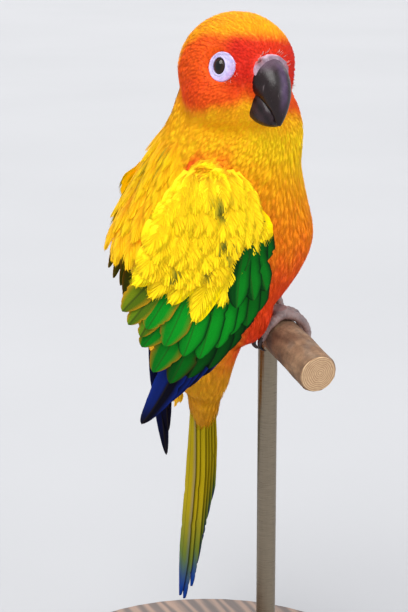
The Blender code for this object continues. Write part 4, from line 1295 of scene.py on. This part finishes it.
def makeTail(finish):
    s = shades
    feathers = []
    for k, long in enumerate(tail["lengths"]):
        for side in (-1, 1):
            off = tail["asides"][k] * side
            level = 3.6 - 0.95 * k - (0.95 if k else 0.0)
            if k == 0 and side < 0:
                level -= 0.95
            width = tail["width"] - (1.0 if k else 0.0)

            def colour(t, across, layer, side=side, k=k):
                base = mixed(s["tailOlive"], s["tailGreen"], 0.8 * smooth(0.45, 0.85, t))
                base = mixed(base, s["blue"], smooth(0.75, 0.97, t))
                outer = smooth(0.5, 1.0, across * side) * (0.3 if k < 4 else 0.9)
                base = mixed(base, s["blue"], outer)
                if layer < 0:
                    base = mixed(base, s["tailUnder"], 0.75)
                return base

            feathers.append({
                "root": (off * 0.8, 4.0), "tip": (off, long), "width": width, "lift": (level, level - 0.4),
                "paint": colour, "steps": 44, "point": 0.22, "notches": 4, "risen": 1.0, "camber": 0.6, "stout": 2.2})
    finished(vanePiece("feathers_tail", tailSheet, feathers), finish, "tail_feathers", ["tail"], 35)


mantle = (  # height of roots and tips, how far round, how many, width, lift at root and tip
    (75.0, 61.0, 14.0, 8, 5.4, (-1.6, -0.2)),
    (70.0, 56.0, 16.0, 9, 6.0, (-1.6, 0.2)),
    (65.0, 51.0, 17.0, 9, 6.6, (-1.4, 0.8)),
    (60.0, 44.5, 18.0, 9, 7.4, (-1.0, 2.2)),
    (55.0, 38.0, 15.0, 7, 7.8, (-0.4, 4.0)),
    (49.0, 29.5, 10.0, 5, 8.0, (0.4, 6.2)),
)
rump = (
    (6.0, -12.0, 15.0, 8, 7.0, (0.0, 1.4)), (-8.0, -29.0, 9.5, 7, 7.0, (-0.4, 0.5)),
    (16.0, -2.0, 18.0, 9, 7.0, (0.0, 1.2)))


def makeMantle(finish):
    s = shades
    feathers = []
    for rows, lower in ((mantle, False), (rump, True)):
        for high, low, wide, count, width, lift in rows:
            for i in range(count):
                spot = wide * (2 * i / (count - 1) - 1) + draws.uniform(-0.8, 0.8)
                end = low + 0.12 * abs(spot) + draws.uniform(-1.5, 1.5)
                odd = 0.8 * (i % 2) + draws.uniform(0, 0.3)
                if lower:
                    colour = mixed(s["rump"], s["olive"], draws.uniform(0.0, 0.3))
                    paint = painted(colour, colour, dark=0.85)
                else:
                    colour = mixed(s["mantle"], s["streak"], draws.uniform(0.0, 0.45))
                    pale = mixed(s["coverts"], s["mantle"], draws.uniform(0.3, 0.9))
                    spotted = draws.random() < 0.14

                    def paint(t, side, layer, colour=colour, pale=pale, spotted=spotted):
                        mix = mixed(colour, pale, smooth(0.3, 0.9, t))
                        if spotted:
                            mix = mixed(mix, s["olive"], 0.6 * smooth(0.5, 0.75, t) * smooth(1.0, 0.85, t))
                        return mix

                def ground(x, z, t, lift=lift, odd=odd):
                    return lift[0] + (lift[1] + odd - lift[0]) * t ** 0.9

                tip = (spot * (0.75 if lower else 1.1), end)
                feathers.append({"root": (spot, high), "tip": tip, "width": width, "ground": ground,
                                 "pairs": 36, "paint": paint, "slant": 1.7})
    finished(plumes("feathers_mantle", backSheet, feathers), finish, "torso_feathers", angle=0)


# bill, cere, eyes and their bare rings
bill = {
    "upper": (  # top point, bottom point (forward, up), half width
        ((12.0, 3.0), (9.0, -10.0), 6.9), ((16.2, 2.5), (11.7, -12.0), 6.9), ((19.3, 0.9), (14.1, -13.4), 6.4),
        ((22.4, -2.6), (15.9, -14.8), 5.5), ((24.0, -7.4), (17.3, -15.9), 4.6), ((24.0, -12.4), (18.7, -16.6), 3.5),
        ((23.0, -17.0), (19.8, -18.0), 2.2), ((21.3, -20.9), (20.5, -20.4), 0.7)),
    "lower": (
        ((8.0, -5.0), (8.0, -17.0), 5.3), ((12.5, -6.0), (11.6, -20.2), 5.1), ((16.8, -10.0), (15.0, -21.4), 4.5),
        ((19.4, -14.6), (17.4, -21.3), 3.6), ((20.6, -17.6), (19.2, -20.4), 1.8)),
    "cereTo": 1.95,
    "nostril": (17.3, 4.7, -0.3),
}


def billRings(table, first, last, steps, segments, grow=0.0, ridge=0.0, under=None, square=0.0):
    # under: how far the lower half stands out, where that differs from grow
    stations = [(i, *row[0], *row[1], row[2]) for i, row in enumerate(table)]
    sink = 0.0 if under is None else under - grow
    rings = []
    for i in range(steps + 1):
        topX, topZ, lowX, lowZ, wide = alongTable(stations, first + (last - first) * i / steps, 1, 2, 3, 4, 5)
        top, low = Vector((topX, 0, topZ)), Vector((lowX, 0, lowZ))
        middle, deep = (top + low) / 2, (top - low) / 2
        deep *= (deep.length + grow) / deep.length
        ring = []
        for a in turns(segments):
            fall = math.copysign(abs(math.cos(a)) ** (1.0 - square), math.cos(a))
            share = float(smooth(0.45, -0.05, math.cos(a)))
            p = middle + deep * fall * (1.0 if fall > 0 else 0.82)
            if under is not None:
                p = middle + (p - middle) * (1.0 + sink * share / deep.length)
            power = 0.85 - square + ridge * max(0.0, math.cos(a))
            p.y = (wide + grow + sink * share) * math.copysign(abs(math.sin(a)) ** power, math.sin(a))
            ring.append(tuple(p))
        rings.append(ring)
    return rings


def makeBill(horn, bareSkin):
    upper = loft("bill_top", billRings(bill["upper"], 0.2, 7.0, 40, 40, 0.0, 0.25), headPlace)
    lower = loft("bill_bottom", billRings(bill["lower"], 0.0, 4.0, 24, 32, square=0.22), headPlace)
    cere = loft("cere_skin", billRings(bill["upper"], 0.3, bill["cereTo"], 16, 48, 0.85, 0.0, -0.9), headPlace)
    for piece in (upper, lower, cere):
        onlyChosen(piece)
        finer = piece.modifiers.new("finer", "SUBSURF")
        finer.levels = finer.render_levels = 1
        applyAll(piece)
    # upper bill: dark horn, with a painted highlight of lighter greyish mauve on the upper sides and a purplish
    # painted highlight along the ridge
    p = seenFrom(headPlace, pointsOf(upper))
    x, y, z = p.T
    # the upper sides painted lighter: painted highlight
    high = smooth(-5.0, -0.5, z - 0.1 * abs(y)) * smooth(25.0, 20.0, x)
    colour = mixed(linear(24, 13, 15), linear(88, 68, 82), high * 0.9)
    # a purplish painted highlight along the ridge
    ridge = smooth(2.2, 0.4, abs(y)) * smooth(19.0, 24.0, x) * smooth(-19.0, -9.0, z)
    colour = mixed(colour, linear(84, 62, 96), ridge * 0.6)
    paint(upper, np.clip(colour * (1.0 + 0.12 * ripple(p, 3.0, 21))[:, None], 0, 1))
    mottled(lower, headPlace, (22, 12, 15), (44, 28, 34), 4.0, 22)
    # cere: a shallow pit with a raised rim for each nostril
    p = seenFrom(headPlace, pointsOf(cere))
    nostrils = []
    for side in (-1, 1):
        spot = np.array(bill["nostril"]) * (1, side, 1)
        spot = p[np.argmin(np.linalg.norm(p - spot, axis=1))].copy()
        nostrils.append(spot)
        far = np.linalg.norm(p - spot, axis=1)
        out = np.array((0.4, side * 0.75, 0.5))
        p += out * (-0.5 * np.exp(-(far / 0.6) ** 2) + 0.34 * np.exp(-((far - 1.15) / 0.4) ** 2))[:, None]
    moved(cere, headPlace, p)
    spots = np.minimum(*(np.linalg.norm(p - spot, axis=1) for spot in nostrils))
    colour = mixed(linear(178, 142, 164), linear(208, 182, 198), 0.5 + 0.5 * ripple(p, 3.5, 23))
    colour = mixed(colour, linear(190, 84, 76), smooth(1.9, 1.0, spots) * 0.85)
    # near black in each nostril's pit: painted shade for the open hole, which the shallow pit does not hold
    colour = mixed(colour, linear(70, 22, 24), smooth(0.95, 0.45, spots))
    front = p[:, 0] + 0.25 * np.abs(p[:, 1]) + 0.5 * ripple(p, 2.0, 24)
    colour = mixed(colour, linear(104, 84, 98), smooth(18.0, 20.4, front) * 0.85)
    paint(cere, np.clip(colour, 0, 1))
    tree = treeOf(upper, lower, cere)
    finished(upper, horn, "bill_horn", ["bill_upper"], 60)
    finished(lower, horn, "bill_horn", ["bill_lower"], 60)
    finished(cere, bareSkin, "cere_skin", ["cere"], 60)
    return tree


bristle = {"cere": 18, "lore": 14, "length": 2.2, "half": 0.06}


def makeBristles(tree, finish):
    roots, ways = [], []
    for i in range(bristle["cere"]):
        a = math.radians((-1) ** i * draws.uniform(14, 66))
        ahead = 16.6 + draws.uniform(-0.9, 0.6) - math.cos(a)
        roots.append(Vector((ahead, 6.2 * math.sin(a), -3.6 + 6.6 * math.cos(a))))
        ways.append(Vector((0.75, 0.5 * math.sin(a), 0.75 * math.cos(a) + draws.uniform(-0.1, 0.3))))
    for side in (-1, 1):
        centre, axis, ahead, up = eyeFrame(side)
        for i in range(bristle["lore"]):
            a = math.radians(draws.uniform(-75, 5))
            far = draws.uniform(4.7, 6.4)
            roots.append(centre + axis * 3.2 + ahead * (far * math.cos(a) + 0.8) + up * far * math.sin(a))
            way = ahead * draws.uniform(-0.2, 0.5) + up * draws.uniform(-0.5, 0.3)
            ways.append(way + axis * draws.uniform(0.3, 0.7))
    points, triangles = [], []
    for spot, way in zip(roots, ways):
        at = Vector(carried(headPlace, [tuple(spot)])[0])
        near, out, _, _ = tree.find_nearest(at)
        way = Vector(headPlace[:3, :3] @ np.array(way.normalized())).normalized()
        start = near - out * 0.2 * mm
        reach = bristle["length"] * draws.uniform(0.6, 1.1) * mm
        aside = way.cross(out).normalized()
        lift = way.cross(aside).normalized()
        base = len(points)
        for share in (0.0, 0.5):
            here = start + way * reach * share + out * (reach * 0.35 * share)
            half = bristle["half"] * (1 - 0.5 * share) * mm
            points += [here + (aside * math.cos(a) + lift * math.sin(a)) * half for a in turns(3)]
        points.append(start + way * reach + out * (reach * 0.15))
        triangles += [tuple(base + k for k in row) for row in sliver]
    obj = meshFromArrays("bristles", [tuple(p) for p in points], triangles, linear(226, 206, 196))
    finished(edited(obj, bpy.ops.mesh.normals_make_consistent, inside=False), finish, "head_feathers", angle=0)


lidProfile = (  # radius, height over the lid's plane: rolled over at the lid, folded, and down at the rim
    (2.3, -0.3), (2.45, 0.1), (2.6, 0.3), (2.78, 0.36), (2.95, 0.28), (3.08, 0.12), (3.2, 0.06), (3.34, 0.13),
    (3.5, 0.08), (3.66, 0.16), (3.82, 0.1), (4.0, 0.18), (4.2, 0.16), (4.4, 0.24), (4.6, 0.26), (4.8, 0.3),
    (4.98, 0.24), (5.1, 0.0), (5.15, -0.6), (5.15, -1.4))


def makeEye(side, label, glass, ringSkin):
    centre, axis, ahead, up = eyeFrame(side)
    r = headShape["eyeRadius"]
    ball = ballAt("eyeball_" + label, (0, 0, 0), (r, r, r), np.eye(4), 48, 32)
    turn = Matrix((ahead * -side * 0.8, axis, up)).transposed().to_4x4()
    turn.translation = centre
    ball.data.transform(Matrix(headPlace.tolist()) @ turn)
    p = seenFrom(headPlace, pointsOf(ball)) - np.array(centre)
    off = np.degrees(np.arccos(np.clip(p @ np.array(axis) / r, -1, 1)))
    colour = mixed(linear(4, 3, 3), linear(34, 17, 9), smooth(21.0, 26.0, off))
    paint(ball, mixed(colour, linear(14, 7, 5), smooth(36.0, 44.0, off)))
    finished(ball, glass, "eye", ["eye_" + label], 60)
    plane = centre + axis * (r**2 - headShape["lidRadius"] ** 2) ** 0.5
    forward, above = headShape["bareShift"][side]
    rings = []
    for radius, height in lidProfile:
        ring = []
        shift = max(0.0, min(1.0, (radius - 3.0) / 1.5))
        slim, tall = 0.88 + 0.07 * shift, 1.12 - 0.16 * shift
        for a in turns(72):
            fold = (0.06 * math.sin(9 * a + 2.0 * radius) + 0.04 * math.sin(23 * a - 3 * radius)) * (radius > 3.3)
            flat = ahead * (radius * slim * math.cos(a) + forward * shift)
            flat += up * (radius * tall * math.sin(a) + above * shift)
            ring.append(tuple(plane + flat + axis * (height + fold)))
        rings.append(ring)
    rings.append([tuple(plane - axis * 2.6 + (Vector(p) - plane) * 0.2) for p in rings[-1]])
    lid = loft("lids_" + label, rings, headPlace)
    p = seenFrom(headPlace, pointsOf(lid)) - np.array(plane)
    far = np.linalg.norm(p - np.outer(p @ np.array(axis), np.array(axis)), axis=1)
    low = smooth(1.0, -5.0, p @ np.array(up) - 0.4 * (p @ np.array(ahead)))
    colour = mixed(linear(190, 182, 220), linear(182, 142, 190), low * smooth(3.2, 4.9, far) * 0.75)
    colour = mixed(linear(104, 90, 118), colour, smooth(2.05, 2.5, far))
    colour = mixed(colour, linear(160, 150, 204), 0.5 * smooth(0.3, 1.0, ripple(p, 2.0, 31)))
    paint(lid, np.clip(colour, 0, 1))
    finished(lid, ringSkin, "cere_skin", angle=60)


# feet, perch and stand
feet = {  # toes: how far aside, first and last turn round the perch in degrees
    "perchRadius": 7.0, "gap": 0.3, "toeRadius": 1.9, "aside": 12.0, "ridges": 0.13,
    "toes": ((3.2, -14.0, 118.0), (-3.0, -12.0, 104.0), (3.4, 2.0, -104.0), (-2.8, 4.0, -86.0)),
    "scutes": 11, "ankle": 12.6, "ankleRadius": 2.9, "grain": 0.24,
}
perch = {"radius": 7.0, "length": 86.0, "knots": ((0.2, 1.1, 0.5), (0.62, 3.9, 0.6), (0.83, 2.2, 0.4))}


def tubeRings(line, radii, segments, bumps=None):
    line = [Vector(p) for p in line]
    rings, side = [], None
    for i, here in enumerate(line):
        ahead = (line[min(i + 1, len(line) - 1)] - line[max(i - 1, 0)]).normalized()
        side = squareTo(ahead.orthogonal().normalized() if side is None else side, ahead)
        over = ahead.cross(side)
        ring = []
        for a in turns(segments):
            r = radii[i] * (1.0 if bumps is None else bumps(i, a))
            ring.append(tuple(here + (side * math.cos(a) + over * math.sin(a)) * r))
        rings.append(ring)
    return rings


def makeFoot(name, side, scaly, horn):
    y, f = side * feet["aside"], feet
    top = f["perchRadius"] + f["gap"]
    parts, claws = [], []
    for off, start, end in f["toes"]:
        line, radii, steps = [], [], 44
        for i in range(steps + 1):
            t = i / steps
            a = math.radians(start + (end - start) * t)
            scute = 1.0 - 0.06 + f["ridges"] * abs(math.sin(math.pi * f["scutes"] * t)) ** 0.6
            joint = 1.0 + 0.10 * math.exp(-((t - 0.42) / 0.07) ** 2) + 0.08 * math.exp(-((t - 0.78) / 0.06) ** 2)
            slim = f["toeRadius"] * (0.98 - 0.34 * t) * (0.55 if i == steps else 1.0)
            far = top + slim
            line.append((far * math.sin(a), y + off * (0.35 + 0.65 * min(1, 2 * t)), far * math.cos(a)))
            radii.append(slim * scute * joint * 0.95)
        parts.append(loft("toe", tubeRings(line, radii, 16)))
        turn = 1 if end > start else -1
        tip, radii = [], []
        for i in range(15):
            t = i / 14
            a = math.radians(end + turn * (40.0 * t - 7))
            far = top + f["toeRadius"] * 0.62 * (1 - t) + 0.4 + 1.2 * math.sin(math.pi * t)
            tip.append((far * math.sin(a), line[-1][1], far * math.cos(a)))
            radii.append(1.05 * (1 - t) ** 0.75 + 0.08)
        claws.append(loft("claw", tubeRings(tip, radii, 14)))
    high = top + f["toeRadius"]
    line = [(-1.5 - 0.5 * i / 10, y, high - 1.4 + (f["ankle"] - high) * i / 10) for i in range(11)]
    parts.append(loft("ankle", tubeRings(line, [f["ankleRadius"]] * 11, 20)))
    foot = joined(parts, name)
    blended(foot, f["grain"], 2)
    p = seenFrom(birdPlace, pointsOf(foot))
    tone = mixed(linear(112, 98, 98), linear(150, 130, 126), 0.5 + 0.5 * ripple(p, 5.0, 41))
    low = smooth(9.6, 7.6, np.hypot(p[:, 0], p[:, 2]))
    paint(foot, mixed(tone, linear(150, 112, 104), low * 0.7).clip(0, 1))
    finished(foot, scaly, "foot_skin", [name], 60)
    nails = joined(claws, name.replace("foot", "claws"))
    mottled(nails, birdPlace, (30, 22, 24), (62, 48, 46), 3.0, 42)
    finished(nails, horn, "foot_skin", angle=60)


def makePerch():
    half, r = perch["length"] / 2, perch["radius"]
    steps = 90
    line = [(0, (half - 0.4) * (2 * i / steps - 1), 0) for i in range(steps + 1)]

    def bumps(i, a):
        v = i / steps
        wave = 0.012 * math.sin(3 * a + 9 * v) + 0.009 * math.sin(7 * a - 23 * v) + 0.007 * math.sin(13 * a + 40 * v)
        for at, turn, size in perch["knots"]:
            near = math.hypot((v - at) * 14, math.atan2(math.sin(a - turn), math.cos(a - turn)) * 1.6)
            wave += 0.06 * size * math.exp(-near * near)
        worn = 0.02 * math.exp(-((v - 0.5) / 0.22) ** 2)
        return 0.985 + wave - worn - (0.05 if i in (0, steps) else 0.0)

    stick = loft("perch_stick", tubeRings(line, [r] * (steps + 1), 56, bumps))
    p = seenFrom(birdPlace, pointsOf(stick))
    tone = mixed(linear(112, 84, 62), linear(146, 116, 88), 0.5 + 0.5 * ripple(p * np.array((1, 0.4, 1)), 5.0, 51))
    tone = mixed(tone, linear(96, 90, 84), 0.35 * smooth(0.1, 0.9, ripple(p, 9.0, 52)))
    paint(stick, tone.clip(0, 1))
    finished(stick, barkMaterial(), "perch_bark", ["stand_perch"], 50)
    discs = []
    for way in (-1, 1):
        profile = [(half - 1.2, 0.88), (half - 0.3, 0.92)] + [(half, f) for f in (0.89, 0.7, 0.5, 0.3, 0.12, 0.02)]
        rings = [[(r * f * math.cos(a), way * y, r * f * math.sin(a)) for a in turns(48)] for y, f in profile]
        discs.append(loft("disc", rings))
    ends = joined(discs, "perch_ends")
    p = seenFrom(birdPlace, pointsOf(ends))
    keep(ends, "vane", np.stack((p[:, 1], np.hypot(p[:, 0] - 0.6, p[:, 2] - 0.4), np.zeros(len(p))), 1))
    finished(ends, ringedMaterial(), "perch_bark")


def dressStand():
    for name, finish in (("stand_base", woodMaterial()), ("stand_rod", metalMaterial())):
        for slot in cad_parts[name].material_slots:
            slot.material = finish


print("stage and camera")
setLights(*setCamera())
bpy.ops.mesh.primitive_plane_add(size=studio["floorSize"])
floor = bpy.context.object
floor.name = "floor"
floor.data.materials.append(floorMaterial())

print("skin")
skin = makeSkin()
skinTree = treeOf(skin)

print("bill and eyes")
horn, bareSkin = hornMaterial(), bareMaterial("cereSkin", 0.5, 900.0)
glass, ringSkin = eyeMaterial(), bareMaterial("eyeRingSkin", 0.55, 1500.0)
billTree = makeBill(horn, bareSkin)
makeEye(-1, "right", glass, ringSkin)
makeEye(1, "left", glass, ringSkin)

print("coat")
plumage = plumageMaterial("softPlumage", 0.72)
makeCoat(skin, skinTree, billTree, plumage)
makeBristles(skinTree, bareSkin)

print("wings and tail")
wingFinish, tailFinish = vaneMaterial("wingVanes", 0.55), vaneMaterial("tailVanes", 0.85)
makeWing("feathers_wing_right", -1, "primaries", wingFinish, plumage)
makeWing("feathers_wing_left", 1, "longPrimaries", wingFinish, plumage)
makeTail(tailFinish)
makeMantle(plumage)

print("feet, perch and stand")
scaly = bareMaterial("scalyFoot", 0.6, 1100.0)
makeFoot("foot_right", -1, scaly, horn)
makeFoot("foot_left", 1, scaly, horn)
makePerch()
dressStand()
